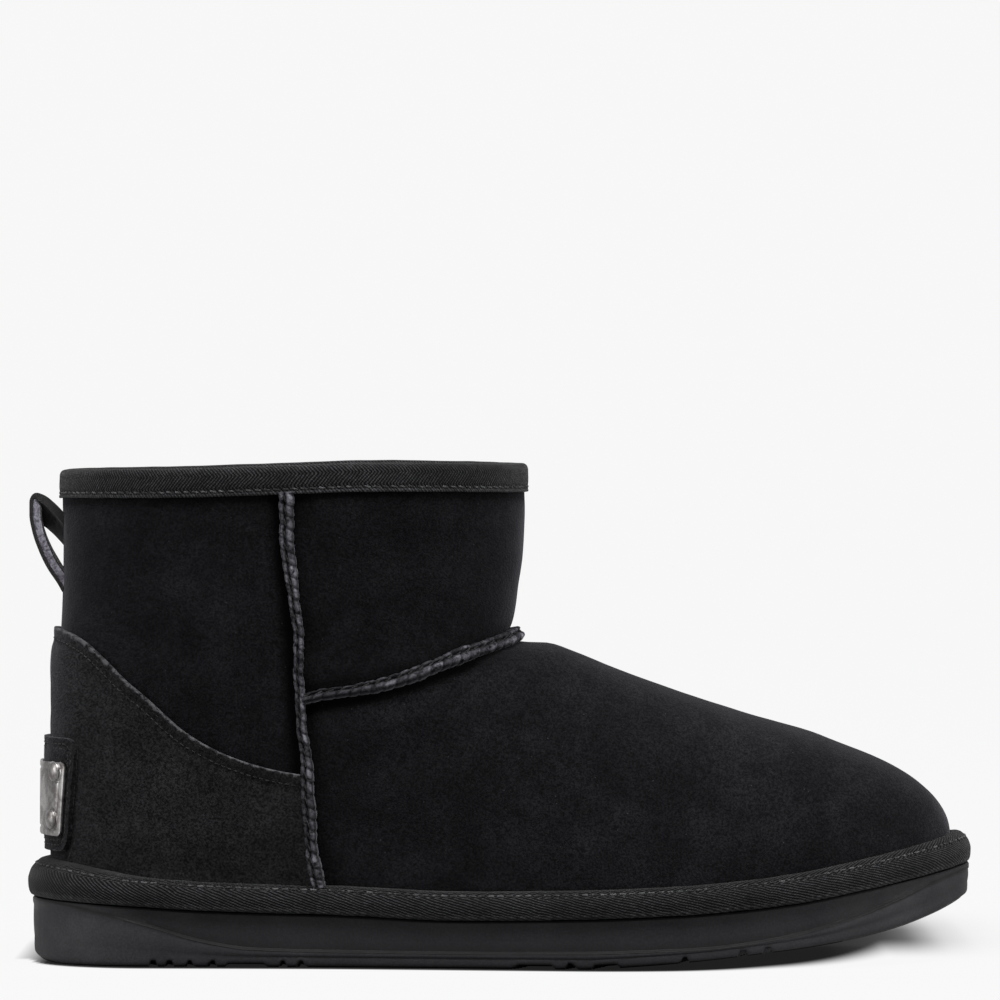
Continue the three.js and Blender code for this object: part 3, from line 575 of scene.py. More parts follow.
# %% [markdown]
# ## Finishes
# Suede is skin with its flesh side buffed into a short nap. It drinks light face on and shows a soft pale edge
# at a glance, which the shader's sheen gives. Brushed one way or the other it looks lighter or darker, so its
# colour drifts in patches, and lint and tiny bright fibres lie on it.


# %% Node helpers
class Finish:
    """A material whose nodes are added one by one"""

    def __init__(self, name, roughness=0.9, **sockets):
        self.material = plain_material(name, (0.01, 0.01, 0.01), roughness, **sockets)
        self.tree = self.material.node_tree
        self.shader = self.tree.nodes["Principled BSDF"]

    def node(self, kind, inputs=None, **settings):
        made = self.tree.nodes.new(kind)
        for key, value in settings.items():
            setattr(made, key, value)
        for key, value in (inputs or {}).items():
            if isinstance(value, bpy.types.NodeSocket):
                self.tree.links.new(value, made.inputs[key])
            else:
                made.inputs[key].default_value = value
        return made

    def place(self):
        return self.node("ShaderNodeTexCoord").outputs["Object"]

    def uv(self):
        return self.node("ShaderNodeTexCoord").outputs["UV"]

    def stored(self, name):
        """The number that a piece keeps under a name at each of its points, or 0"""
        return self.node("ShaderNodeAttribute", attribute_name=name).outputs["Fac"]

    def brushed_place(self):
        """Places drawn out across the boot, the way that its nap is brushed"""
        return self.node("ShaderNodeMapping", {"Vector": self.place(), "Scale": (1, 0.4, 1)}).outputs[0]

    def noise(self, scale, detail=2, vector=None, roughness=0.5):
        inputs = {"Vector": vector or self.place(), "Scale": scale, "Detail": detail, "Roughness": roughness}
        return self.node("ShaderNodeTexNoise", inputs).outputs["Fac"]

    def band(self, value, low, high):
        """0 below low, 1 above high"""
        inputs = {"Value": value, "From Min": low, "From Max": high}
        return self.node("ShaderNodeMapRange", inputs, interpolation_type="SMOOTHSTEP").outputs[0]

    def math(self, operation, a, b=0.0):
        return self.node("ShaderNodeMath", {0: a, 1: b}, operation=operation).outputs[0]

    def shaded(self, level, most):
        """The level, taken down by up to most where the piece is marked as shaded"""
        left = self.math("SUBTRACT", 1.0, self.math("MULTIPLY", self.stored("shade"), most))
        return self.math("MULTIPLY", level, left)

    def color(self, a, b, share):
        inputs = {"Factor": share}
        made = self.node("ShaderNodeMix", inputs, data_type="RGBA")
        for key, value in (("A", a), ("B", b)):
            socket = next(s for s in made.inputs if s.name == key and s.type == "RGBA")
            if isinstance(value, bpy.types.NodeSocket):
                self.tree.links.new(value, socket)
            else:
                socket.default_value = (*value, 1)
        return next(s for s in made.outputs if s.type == "RGBA")

    def bump(self, height, distance, strength=1.0, below=None):
        inputs = {"Height": height, "Distance": distance * MM, "Strength": strength}
        if below is not None:
            inputs["Normal"] = below
        return self.node("ShaderNodeBump", inputs).outputs["Normal"]

    def use(self, **links):
        for socket, value in links.items():
            self.tree.links.new(value, self.shader.inputs[socket.replace("_", " ")])


def grey(level, blue=1.04):
    return (level, level, level * blue)


print("helpers for finishes:", [name for name in vars(Finish) if name[0] != "_"])


# %% Suede
def suede(name, dark, light, sheen, grain, fibre, blue, edge=None, ridge=None):
    """Short nap: soft lighter patches, grain of the fibres, and here and there a speck of lint. grain is how
    strong the fibres show and fibre how fine they are. edge is how pale raw hide is, and ridge how pale the
    seams' crowns are, from rubbed hide and a painted highlight."""
    f = Finish(name, 0.95, Specular_IOR_Level=0.02, Sheen_Weight=sheen, Sheen_Roughness=0.4)
    f.shader.inputs["Sheen Tint"].default_value = (0.85, 0.85, 0.95, 1)
    patches = f.band(f.noise(24, 3, roughness=0.6), 0.42, 0.68)
    streaks = f.band(f.noise(85, 5, f.brushed_place(), 0.75), 0.4, 0.68)
    drift = f.math("ADD", f.math("MULTIPLY", patches, 0.5), f.math("MULTIPLY", streaks, 0.5))
    level = f.math("ADD", dark, f.math("MULTIPLY", drift, light - dark))
    nap = f.noise(fibre, 2, f.brushed_place(), 0.6)
    tufts = f.band(f.noise(fibre * 0.45, 2, f.brushed_place(), 0.6), 0.35, 0.7)
    fibres = f.math("ADD", f.math("MULTIPLY", f.band(nap, 0.38, 0.64), 0.75), f.math("MULTIPLY", tufts, 0.35))
    level = f.math("MULTIPLY", level, f.math("ADD", 1 - 0.55 * grain, f.math("MULTIPLY", fibres, grain)))
    level = f.math("MAXIMUM", level, dark * 0.2)
    level = f.shaded(level, 0.95)
    lint = f.node("ShaderNodeTexVoronoi", {"Vector": f.place(), "Scale": 420.0}).outputs["Distance"]
    speck = f.math("MULTIPLY", f.band(lint, 0.11, 0.04), f.band(f.noise(340, 0), 0.6, 0.66))
    level = f.math("ADD", level, f.math("MULTIPLY", speck, 0.012))
    if edge:
        raw = f.stored("raw_edge")
        crumbs = f.math("MULTIPLY_ADD", raw, 0.5)
        crumbs.node.inputs[2].default_value = -0.47
        fuzz = f.band(f.math("ADD", f.noise(520, 3, roughness=0.7), crumbs), 0.42, 0.62)
        fuzz = f.math("MULTIPLY", fuzz, f.band(raw, 0.02, 0.25))
        level = f.math("ADD", level, f.math("MULTIPLY", fuzz, edge))
    # ridge: rubbed hide and a painted highlight on the seams' crowns, read from the worn mark
    if ridge:
        worn = f.stored("worn")
        fluff = f.band(f.noise(620, 3, roughness=0.7), 0.3, 0.66)
        level = f.math("ADD", level, f.math("MULTIPLY", f.math("MULTIPLY", worn, fluff), ridge))
    low = f.bump(f.noise(160, 2), 0.25, 0.5)
    f.use(Base_Color=f.color((0, 0, 0), (1.01, 1, blue), level), Normal=f.bump(nap, 0.2, 0.9, low))
    return f.material


suede_skin = suede("black suede", 0.0022, 0.0052, 0.07, 1.15, 1750, 1.14)
suede_counter = suede("brushed suede", 0.0046, 0.0092, 0.06, 1.3, 1700, 1.06, edge=0.03)
suede_patch = suede("patch suede", 0.0044, 0.0086, 0.06, 1.4, 1700, 1.06, edge=0.02)
highlit_seam_suede = suede("seam suede with painted highlight", 0.0026, 0.0066, 0.06, 1.4, 1900, 1.14, ridge=0.09)
print("suedes made")

# %% [markdown]
# Tape is woven with a twill weave: each thread passes over two and under one, so fine ribs cross it aslant.
# On this boot the ribs turn back in the middle, which is a herringbone. The rib's height is a wave over the
# tape's own UV map, measured in millimetres along and across.


# %% Twill tape
def twill(name, dark, light, length, width, rib, turn, lean):
    """rib is the weave's step in millimetres, turn where its ribs turn back, lean how upright they stand"""
    f = Finish(name, 0.85, Specular_IOR_Level=0.05, Sheen_Weight=0.04, Sheen_Roughness=0.4)
    split = f.node("ShaderNodeSeparateXYZ", {0: f.uv()})
    along = f.math("MULTIPLY", split.outputs[0], length)
    across = f.math("MULTIPLY", split.outputs[1], width)
    turned = f.math("PINGPONG", across, turn)
    drawn = f.math("ADD", f.math("MULTIPLY", along, lean), f.math("MULTIPLY", turned, (1 - lean**2) ** 0.5))
    drawn = f.math("ADD", drawn, f.math("MULTIPLY", f.noise(200, 2), 0.9))
    rib_wave = f.math("SINE", f.math("MULTIPLY", drawn, 2 * pi / rib))
    threads = f.math("SINE", f.math("MULTIPLY", f.math("SUBTRACT", along, turned), 2 * pi / 0.85))
    weave = f.math("ADD", f.math("MULTIPLY", rib_wave, 0.95), f.math("MULTIPLY", threads, 0.35))
    worn = f.band(f.noise(70, 4, roughness=0.65), 0.3, 0.72)
    fuzz = f.band(f.noise(1300, 3, roughness=0.8), 0.35, 0.75)
    selvage = f.stored("selvage")
    weave_high = f.math("ADD", f.band(weave, -0.6, 1.2), f.math("MULTIPLY", selvage, 0.6))
    level = f.math("ADD", dark, f.math("MULTIPLY", weave_high, light - dark))
    level = f.math("MULTIPLY", level, f.math("ADD", 0.4, f.math("MULTIPLY", fuzz, 1.0)))
    level = f.math("MULTIPLY", level, f.math("ADD", 0.7, f.math("MULTIPLY", worn, 0.6)))
    level = f.shaded(level, 0.7)
    f.use(Base_Color=f.color((0, 0, 0), (1, 1, 1.06), level), Normal=f.bump(weave, 0.06, 0.8))
    print(name, "ribs every", rib, "mm")
    return f.material


# %% Foam, thread, metal, strap and fleece
def foam(name):
    f = Finish(name, 0.55, Specular_IOR_Level=0.14)
    haze = f.band(f.noise(35, 3), 0.35, 0.7)
    pores = f.noise(1500, 3, roughness=0.75)
    # Painted light: the lower band of the side is lighter than the upper band, which stands as in shade
    lower = f.stored("lit_low_band")
    level = f.math("ADD", 0.0088, f.math("MULTIPLY", lower, 0.0022))
    level = f.shaded(level, 0.85)
    level = f.math("MULTIPLY", level, f.math("ADD", 0.85, f.math("MULTIPLY", haze, 0.3)))
    level = f.math("MULTIPLY", level, f.math("ADD", 0.7, f.math("MULTIPLY", f.band(pores, 0.3, 0.75), 0.6)))
    f.use(
        Base_Color=f.color((0, 0, 0), (1.01, 1, 1.14), level),
        Roughness=f.band(f.noise(90, 3), -0.8, 1.3),
        Normal=f.bump(pores, 0.05, 0.6),
    )
    return f.material


def thread(name, dark, light):
    f = Finish(name, 0.8, Specular_IOR_Level=0.08, Sheen_Weight=0.05)
    twist = f.band(f.noise(330, 3, roughness=0.7), 0.42, 0.62)
    f.use(Base_Color=f.color(grey(dark), grey(light), twist), Normal=f.bump(twist, 0.06, 0.7))
    return f.material


def brushed_metal(name, level, warm=0.97):
    f = Finish(name, 0.38, Metallic=1.0)
    stretched = f.node("ShaderNodeMapping", {"Vector": f.place(), "Scale": (1, 0.06, 1)}).outputs[0]
    lines = f.noise(2600, 3, stretched, 0.7)
    patina = f.band(f.noise(150, 5, roughness=0.7), 0.38, 0.62)
    clean, dull = (level, level * warm, level * warm * 0.99), (level * 0.36, level * 0.33, level * 0.32)
    base = f.color(dull, clean, patina)
    f.use(Base_Color=base, Roughness=f.band(lines, -0.9, 2.0), Normal=f.bump(lines, 0.012, 0.6))
    return f.material


def fleece(name):
    f = Finish(name, 1.0, Specular_IOR_Level=0.05, Sheen_Weight=0.25, Sheen_Roughness=0.6)
    curl = f.noise(420, 4, roughness=0.75)
    base = f.color(grey(0.003), grey(0.014), f.band(curl, 0.35, 0.7))
    f.use(Base_Color=base, Normal=f.bump(curl, 0.9, 0.9))
    return f.material


def strap_cloth(name, length, width):
    f = Finish(name, 0.7, Specular_IOR_Level=0.12, Sheen_Weight=0.05)
    split = f.node("ShaderNodeSeparateXYZ", {0: f.uv()})
    warp = f.math("SINE", f.math("MULTIPLY", split.outputs[0], 2 * pi * length / 0.5))
    weft = f.math("SINE", f.math("MULTIPLY", split.outputs[1], 2 * pi * width / 0.5))
    weave = f.math("MULTIPLY", warp, weft)
    base = f.color(grey(0.005), (0.013, 0.0115, 0.011), f.band(weave, -0.8, 0.9))
    f.use(Base_Color=base, Normal=f.bump(weave, 0.08, 0.8))
    return f.material


def core_cloth(name):
    f = Finish(name, 0.95, Specular_IOR_Level=0.05)
    fluff = f.band(f.noise(900, 3, roughness=0.7), 0.35, 0.65)
    f.use(Base_Color=f.color((0.05, 0.045, 0.055), (0.15, 0.145, 0.17), fluff), Normal=f.bump(fluff, 0.1, 0.8))
    return f.material


foam_sole = foam("moulded foam")
# Painted shade: the underside is a darker foam with no gloss, for the shade under the boot
shaded_tread_foam = plain_material("shaded tread foam", (0.004, 0.004, 0.0042), 1, Specular_IOR_Level=0)
dark_thread = thread("sewing thread", 0.003, 0.012)
light_thread = thread("tape thread", 0.006, 0.045)
faint_thread = thread("counter thread", 0.004, 0.014)
steel_plate = brushed_metal("brushed plate", 0.24)
steel_rivet = brushed_metal("rivet metal", 0.24)
wool = fleece("curled fleece")
print("materials:", len(bpy.data.materials))

# %% [markdown]
# ## The upper's skin
# The maker sews a back quarter, a shaft front and a vamp together and pulls them over the last. No row of
# operators gives a last's shape, so the skin is a grid laid on the loops of the form. Beside each raised seam
# the skin dips a little, and soft folds are set where such a boot gives: over the instep, at the
# ankle and beside the seams.

# %% Dips and folds of the skin
# A fold: middle x, middle z, side (0 both), length, slope of its line, width, height (below 0 for a trough)
FOLDS = [
    (-22, 121, 0, 46, 0.12, 9, -0.55),
    (-30, 108, 0, 52, 0.2, 8, 0.4),
    (-94, 112, 0, 44, -0.08, 10, -0.5),
    (-92, 126, 0, 36, 0.05, 9, 0.35),
    (-96, 92, 0, 34, -0.35, 8, -0.35),
    (-26, 72, 0, 46, 0.32, 9, 0.6),
    (-18, 63, 0, 52, 0.3, 9, -0.55),
    (-30, 48, 0, 40, 0.25, 11, 0.4),
    (26, 78, 0, 40, -0.55, 10, -0.4),
    (48, 60, 0, 50, -0.4, 13, 0.45),
    (64, 44, 0, 60, -0.2, 12, -0.35),
]


def fold_height(x, y, z):
    height = np.zeros_like(x)
    side = np.where(y < 0, -1, 1)
    for middle_x, middle_z, on_side, length, slope, width, depth in FOLDS:
        run = np.hypot(1, slope)
        along = ((x - middle_x) + slope * (z - middle_z)) / run
        off = ((z - middle_z) - slope * (x - middle_x)) / run
        shape = np.exp(-((along / (length / 2)) ** 2) * 1.4 - (off / (width / 2)) ** 2)
        height += depth * shape * ((on_side == 0) | (side == on_side))
    return height


def seam_dip(x, z):
    """Depth of the skin beside the raised seams: deeper behind the side seams and under the instep seam"""
    beside = x - side_seam_x(z)
    over = np.where(beside > 0, z - cut(x, INSTEP), 99)
    beside_depth = np.where(beside < 0, 1.3, 0.8)
    over_depth = np.where(over < 0, 1.5, 0.7)
    return beside_depth * np.exp(-((beside / 4) ** 2)) + over_depth * np.exp(-((over / 3.8) ** 2))


def seam_shade(x, y, z):
    """1 in the painted shadow that the raised seams keep beside them, and under the collar tape"""
    beside = x - side_seam_x(z)
    over = np.where(beside > 0, z - cut(x, INSTEP), 99)
    behind = np.exp(-(((beside + 2.5) / 2.2) ** 2)) + 0.35 * np.exp(-(((beside - 2.4) / 1.5) ** 2))
    under = np.exp(-(((over + 2.8) / 2.3) ** 2)) + 0.4 * np.exp(-(((over - 2.6) / 1.5) ** 2))
    collar = np.exp(-(((cut(x, COLLAR) - COLLAR_BAND - z - 0.5) / 1.8) ** 2))
    return np.clip(behind + under + 0.6 * collar, 0, 1)


LEVELS = np.concatenate([np.linspace(-1, 0, 9), np.linspace(0, 1, 62)[1:], np.linspace(1, 2, 44)[1:]])
loops = upper_loops(LEVELS, 400)
outward = grid_normals(loops, True)
x, y, z = np.moveaxis(loops, -1, 0)
relief = fold_height(x, y, z) + 0.35 * lumps(x, y, z, 26) + 0.1 * lumps(x, y, z, 7, 5)
relief = relief * smoothstep(z, bulge_z(x) - 3, bulge_z(x) + 8) - seam_dip(x, z)
relief *= smoothstep(cut(x, COLLAR) - z, RIM_DROP, 12)
skin_points = loops + outward * relief[..., None]
skin = lay_grid("upper_skin", skin_points)
thicken(skin, 1.2)
mark(skin, "shade", seam_shade)
finish_piece(skin, suede_skin, "suede", "upper")

# %% [markdown]
# ## The fleece
# The other face of the skin is the wool, clipped short. Its locks clump and curl, so its surface is a second
# grid 4 mm inside the first, facing in, and pushed about by lumps of noise at three sizes.

# %% Fleece lining
LINING_LEVELS = np.concatenate([np.linspace(-0.7, 1, 60), np.linspace(1, 1.97, 50)[1:]])
loops = upper_loops(LINING_LEVELS, 280)
inward = -even_normals(loops, 6)
x, y, z = np.moveaxis(loops, -1, 0)
pile = 3.2 + 0.8 * lumps(x, y, z, 9, 3) + 0.7 * lumps(x, y, z, 4.2, 8) + 0.4 * lumps(x, y, z, 2.4, 11)
pile = np.clip(pile, 1.8, 5)
lining = lay_grid("fleece_lining", (loops + inward * pile[..., None])[:, ::-1])
thicken(lining, 0.4, 1.0)
finish_piece(lining, wool, "fleece")

# %% [markdown]
# ## Footbed
# A foam footbed covered with the same fleece lies on the sole. It is a soft pad: a loop of the upper's own
# inside, drawn in by the wall, rises to a rounded crown that the wool breaks up.

# %% Footbed
base_loop = offset_plan(upper_loops([-1], 240)[0], -(WALL + SEAT + 0.3))
middle_y = plan(base_loop[:, 0], SPINE)
rows = []
for share, rise in [(1, 0), (1, 2.4), (0.985, 3.9), (0.96, 4.7)] + [(s, 5.1) for s in np.linspace(0.92, 0.02, 34)]:
    ring = base_loop.copy()
    centre_x = np.clip(ring[:, 0], -98, 96)
    ring[:, 0] = centre_x + (ring[:, 0] - centre_x) * share
    ring[:, 1] = middle_y + (ring[:, 1] - middle_y) * share
    ring[:, 2] = sole_z(ring[:, 0], TOP) + SEAT + rise
    rows.append(ring)
bed_points = np.array(rows)
x, y, z = np.moveaxis(bed_points, -1, 0)
wool_height = 0.45 * lumps(x, y, z, 7, 2) + 0.45 * lumps(x, y, z, 3.4, 7)
bed_points[3:, :, 2] += wool_height[3:]
footbed = lay_grid("footbed", bed_points)
close_holes(footbed)
finish_piece(footbed, wool, "fleece", "insole")

# %% [markdown]
# ## Raised seams
# The two edges of the sheepskin are sewn together and left standing, so each seam is a pair of raw, puckered
# ridges with the thread sunk between them. A ribbon follows the seam, its cross-section is the two ridges,
# and a wave along it pulls them in at each stitch.


# %% Seam ribbon
RIBBON_ACROSS = 22  # steps over the part of a ribbon's section that shows
SEAM_PITCH = 3.5


def seam_ribbon(name, path, outward, half_width, proud, seed, aslant, valley, strength):
    """path and outward are arrays of points and directions along the seam, in even steps. half_width and
    strength, which is how pale its crowns are from raw hide and a painted highlight, hold a number for each of
    them."""
    along = np.gradient(path, axis=0)
    along /= np.linalg.norm(along, axis=1, keepdims=True)
    out = outward - along * np.sum(outward * along, axis=1, keepdims=True)
    out /= np.linalg.norm(out, axis=1, keepdims=True)
    across = np.cross(along, out)
    run = run_along(path)
    wander, sway, uneven = (
        np.array([noise.noise(Vector((s / size, seed, at))) for s in run])[:, None]
        for size, at in ((9, 0), (4, 5), (2.2, 9))
    )
    t = np.linspace(-1, 1, RIBBON_ACROSS + 1)[None, :]
    stitch = (run[:, None] + 1.2 * wander) / SEAM_PITCH + aslant * t
    from_stitch = np.abs(stitch - np.rint(stitch)) * SEAM_PITCH
    pinch = np.exp(-((from_stitch / 0.5) ** 2))
    lobe_seed = np.rint(stitch - 0.5) * 1.7 + 31 * (t < valley)
    chance = np.abs(np.sin(lobe_seed * 12.9898 + seed) * 43758.5453) % 1
    lobe_half = np.where(t < valley, (1 + valley) / 2, (1 - valley) / 2)
    lobe_middle = np.where(t < valley, (valley - 1) / 2, (valley + 1) / 2)
    ridge = np.clip(1 - np.abs((t - lobe_middle) / lobe_half) ** 2.2, 0, 1) ** 0.5
    floor_high = 0.62 * (1 - smoothstep(np.abs(t), 0.45, 0.92))
    fuller = 1 + 0.25 * wander + 0.22 * uneven * np.sign(t - valley)
    lobe_high = np.sqrt(lobe_half / 0.5)
    width_share = (half_width / np.max(half_width))[:, None]
    height = proud * width_share * lobe_high * np.maximum(ridge, floor_high) * fuller * (1 - 0.24 * pinch)
    height -= 1.5 * smoothstep(np.abs(t), 0.9, 1)
    width = half_width[:, None] * (1 + 0.2 * wander) * (1 - 0.12 * pinch) * t + 0.25 * sway
    points = path[:, None] + across[:, None] * width[..., None] + out[:, None] * height[..., None]
    under = (path[:, None] + across[:, None] * width[..., None] * 0.9 - out[:, None] * 1.6)[:, ::-1][:, ::6]
    # Pale crowns: the raw hide's fibre and a painted highlight on the lobes' tops, dimmer at the stitch pinches
    crown = np.clip(ridge**5 * lobe_high**2 * (1 - 0.7 * pinch) * fuller, 0, 2) * strength[:, None]
    crown *= 0.25 + 1.0 * chance
    ring = np.concatenate([points, under, points[:, :1]], axis=1)
    # worn carries the crowns' paleness, rubbed hide and painted highlight together
    worn = np.concatenate([crown, np.zeros(under.shape[:2]), crown[:, :1]], axis=1)
    ribbon = lay_grid(name, ring, worn=worn)
    close_holes(ribbon)
    bpy.ops.object.shade_smooth()
    finish_piece(ribbon, highlit_seam_suede, "suede")
    sunk = height[:, int(round((valley + 1) / 2 * RIBBON_ACROSS))]
    return path + across * half_width[:, None] * valley + out * (sunk[:, None] + 0.05), out


def even_path(points, step):
    """The same line with points in even steps"""
    run = run_along(points)
    even = np.linspace(0, run[-1], max(2, int(run[-1] / step) + 1))
    return np.stack([np.interp(even, run, points[:, k]) for k in range(3)], axis=1)


def surface_normal(points, side):
    """Direction out of the upper at points on it, which all lie to one side"""
    x, _, z = points.T
    step = 1.5

    def at(dx, dz):
        return np.stack([x + dx, side * upper_reach(x + dx, z + dz, side), z + dz], axis=1)

    normal = np.cross(at(step, 0) - at(-step, 0), at(0, step) - at(0, -step)) * -side
    return normal / np.linalg.norm(normal, axis=1, keepdims=True)


# %% Side seams
seam_lines = []
# height: half the seam's breadth, and how pale its crowns are from rubbed hide and painted highlight
SEAM_ROWS = [(20, 1.95, 0.8), (55, 1.9, 0.85), (75, 1.5, 0.9), (100, 1.6, 1), (115, 2.1, 1.15), (140, 2.3, 1.3)]
for number, (side, word) in enumerate(((-1, "outer"), (1, "inner"))):
    low, high = float(sole_z(-52.0, TOP)) + WELT_RISE - 0.5, float(cut(-60.0, COLLAR)) - COLLAR_BAND + 0.4
    z = np.linspace(low, high, 200)
    x = side_seam_x(z) + 0.25 * np.sin(z / 7) + 0.15 * np.sin(z / 2.9)
    over_counter = 1.1 * (1 - smoothstep(z, 55, 61))
    path = even_path(np.stack([x, side * (upper_reach(x, z, side) + over_counter), z], axis=1), 0.3)
    half_width, pale = (table(SEAM_ROWS, column, path[:, 2]) for column in (1, 2))
    out = surface_normal(path, side)
    seam_lines.append(seam_ribbon(f"side_seam_{word}", path, out, half_width, 1.9, number + 1, 0.35, -0.22, pale))

# %% Instep seam
loop = upper_loops([1.0], 600)[0]
loop = loop[loop[:, 0] > side_seam_x(loop[:, 2]) - 0.3]
path = even_path(loop, 0.3)
path[:, 2] += 0.25 * np.sin(np.arange(len(path)) * 0.3 / 6)
outward = np.stack([np.maximum(path[:, 0] + 20, 0) / 25, path[:, 1] / 34, np.zeros(len(path))], axis=1)
outward /= np.linalg.norm(outward, axis=1, keepdims=True)
outward[:, 2] = 0.25
to_front = smoothstep(path[:, 0], -58, -8)
# The instep seam's crowns get paler towards the front, from rubbed hide and painted highlight
half_width, pale = mix(1.5, 2.25, to_front), mix(0.2, 0.68, smoothstep(path[:, 0], -54, -22))
seam_lines.append(seam_ribbon("instep_seam", path, outward, half_width, 2.3, 4, 0.35, -0.3, pale))

# %% [markdown]
# ## Stitches
# Thread shows on the face as a row of short plump stitches with a small gap between them. One stitch is a
# capsule: a cylinder with its ends bevelled round. It is copied along a line, laid along the line's direction,
# and the row is joined into one piece.


# %% Stitch rows
def stitch_mesh(length, thick):
    bpy.ops.object.select_all(action="DESELECT")
    bpy.ops.mesh.primitive_cylinder_add(vertices=6, radius=thick / 2 * MM, depth=length * MM)
    one = bpy.context.object
    bpy.ops.object.mode_set(mode="EDIT")
    bpy.ops.mesh.select_all(action="SELECT")
    bpy.ops.mesh.bevel(offset=thick * 0.34 * MM, segments=2)
    bpy.ops.object.mode_set(mode="OBJECT")
    bpy.ops.object.shade_smooth()
    return one


def stitch_row(name, line, outward, pitch, length, thick, material, slot, slant=0.0):
    """Stitches along a line of points in millimetres, each half sunk into the face"""
    run = run_along(line)
    count = int(run[-1] / pitch)
    one = stitch_mesh(length, thick)
    copies = []
    for k in range(count):
        at = (k + 0.5) * run[-1] / count
        place = np.array([np.interp(at, run, line[:, c]) for c in range(3)])
        ahead = np.array([np.interp(at + 0.6, run, line[:, c]) for c in range(3)])
        behind = np.array([np.interp(at - 0.6, run, line[:, c]) for c in range(3)])
        out = Vector([np.interp(at, run, outward[:, c]) for c in range(3)]).normalized()
        along = Vector(ahead - behind).normalized()
        side = out.cross(along).normalized()
        tilt = slant + 0.05 * np.sin(k * 2.3)
        turned = (along * np.cos(tilt) + side * np.sin(tilt)).normalized()
        side = out.cross(turned)
        frame3 = Matrix((side, out, turned)).transposed().to_4x4()
        copy = one.copy()
        copy.data = one.data.copy()
        bpy.context.collection.objects.link(copy)
        copy.data.transform(Matrix.Translation(Vector(place) * MM) @ frame3)
        copies.append(copy)
    bpy.data.objects.remove(one)
    bpy.ops.object.select_all(action="DESELECT")
    for copy in copies:
        copy.select_set(True)
    bpy.context.view_layer.objects.active = copies[0]
    bpy.ops.object.join()
    row = bpy.context.object
    row.name = name
    finish_piece(row, material, slot)
    return row


# %% [markdown]
# The thread of the raised seams lies in the valley between the two ridges, where it crosses from one to the
# other, so its stitches lie aslant, turn and turn about.

# %% Thread in the seams
for name, (line, out) in zip(("outer", "inner", "instep"), seam_lines):
    stitch_row(f"seam_thread_{name}", line, out, SEAM_PITCH, 2.2, 0.5, dark_thread, "suede", 0.3)

# %% [markdown]
# ## Heel counter
# The counter is a stiff, lighter piece of suede lapped over the back, from side seam to side seam. Its cut
# top edge is raw, so the pale fibre of the hide shows as a bright line, and two rows of stitches hold it. It is
# a sheet laid on the heel by arc and height, given its thickness, with a rounded edge.


# %% Heel places
def heel_point(arc, z):
    """A point on the upper round the back: arc runs from the middle of the heel, positive to the outer side"""
    arc, z = np.broadcast_arrays(np.asarray(arc, float), np.asarray(z, float))
    back = shaft(z, BACK)
    turn = np.abs(arc) / HEEL_CAP
    straight = np.abs(arc) - HEEL_CAP * pi / 2
    x = np.where(turn < pi / 2, back + HEEL_CAP * (1 - np.cos(turn)), back + HEEL_CAP + straight)
    side = np.where(arc > 0, -1.0, 1.0)
    y = np.where(np.abs(arc) < 1e-6, 0, side * upper_reach(x, z, side))
    return np.stack([x, y, z], axis=-1)


def heel_normal(arc, z):
    along = heel_point(arc + 0.8, z) - heel_point(arc - 0.8, z)
    up = heel_point(arc, z + 0.8) - heel_point(arc, z - 0.8)
    out = np.cross(along, up)
    return out / np.linalg.norm(out, axis=-1, keepdims=True)


def arc_at(x):
    return HEEL_CAP * pi / 2 + (x - (float(shaft(40, BACK)) + HEEL_CAP))


COUNTER_SEAT, COUNTER_THICK, PATCH_THICK, PLATE_THICK = 0.45, 1.5, 1.4, 0.8
SEAM_CLEAR = 0.6  # the counter's front edge lies under the seam
MIDDLE_Z = 50.0  # height at which the counter's breadth is measured
REACH = arc_at(float(side_seam_x(MIDDLE_Z)) - SEAM_CLEAR)


def welt_top(arc):
    return WELT_RISE + WELT_HEEL_EXTRA * np.maximum(0, np.cos(np.minimum(np.abs(arc) / HEEL_CAP, pi / 2))) + 0.3


def counter_place(arc, share):
    """Arc and height on the counter: share 0 at the welt, 1 at the cut top edge"""
    arc, share = np.broadcast_arrays(arc, share)
    middle = heel_point(arc, np.full(arc.shape, MIDDLE_Z))
    low = sole_z(middle[..., 0], TOP) + welt_top(arc) - 3
    z = mix(low, counter_top(middle[..., 0]), share)
    slide = (side_seam_x(z) - side_seam_x(MIDDLE_Z)) * (np.abs(arc) / REACH) ** 4
    return arc + np.sign(arc) * slide, z


print("the counter reaches", round(REACH, 1), "mm round each side")


# %% Counter
arcs = np.linspace(-REACH, REACH, 300)[None, :]
shares = np.linspace(0, 1, 120)[:, None]
arc, z = counter_place(arcs, shares)
points = heel_point(arc, z)
outward = heel_normal(arc, z)
x, y, z3 = np.moveaxis(points, -1, 0)
top_gap = (1 - shares) * (counter_top(heel_point(arcs, MIDDLE_Z)[..., 0]) - 30)
edge_gap = np.minimum(top_gap, REACH - np.abs(arcs))
pressed = 0.35 * np.exp(-(((top_gap - 3.4) / 1.5) ** 2))
waves = 0.35 * lumps(x, y, z3, 16, 4) + 0.14 * lumps(x, y, z3, 5, 9)
rise = COUNTER_SEAT + COUNTER_THICK - pressed + waves * smoothstep(edge_gap, 0, 8)
counter = lay_grid("heel_counter_suede", points + outward * rise[..., None])
thicken(counter, 1.7, edge=0.45)
mark(counter, "raw_edge", lambda px, py, pz: np.clip(1 - (counter_top(px + 1) - pz) / 2.1, 0, 1))
finish_piece(counter, suede_counter, "counter_suede", "heel_counter")
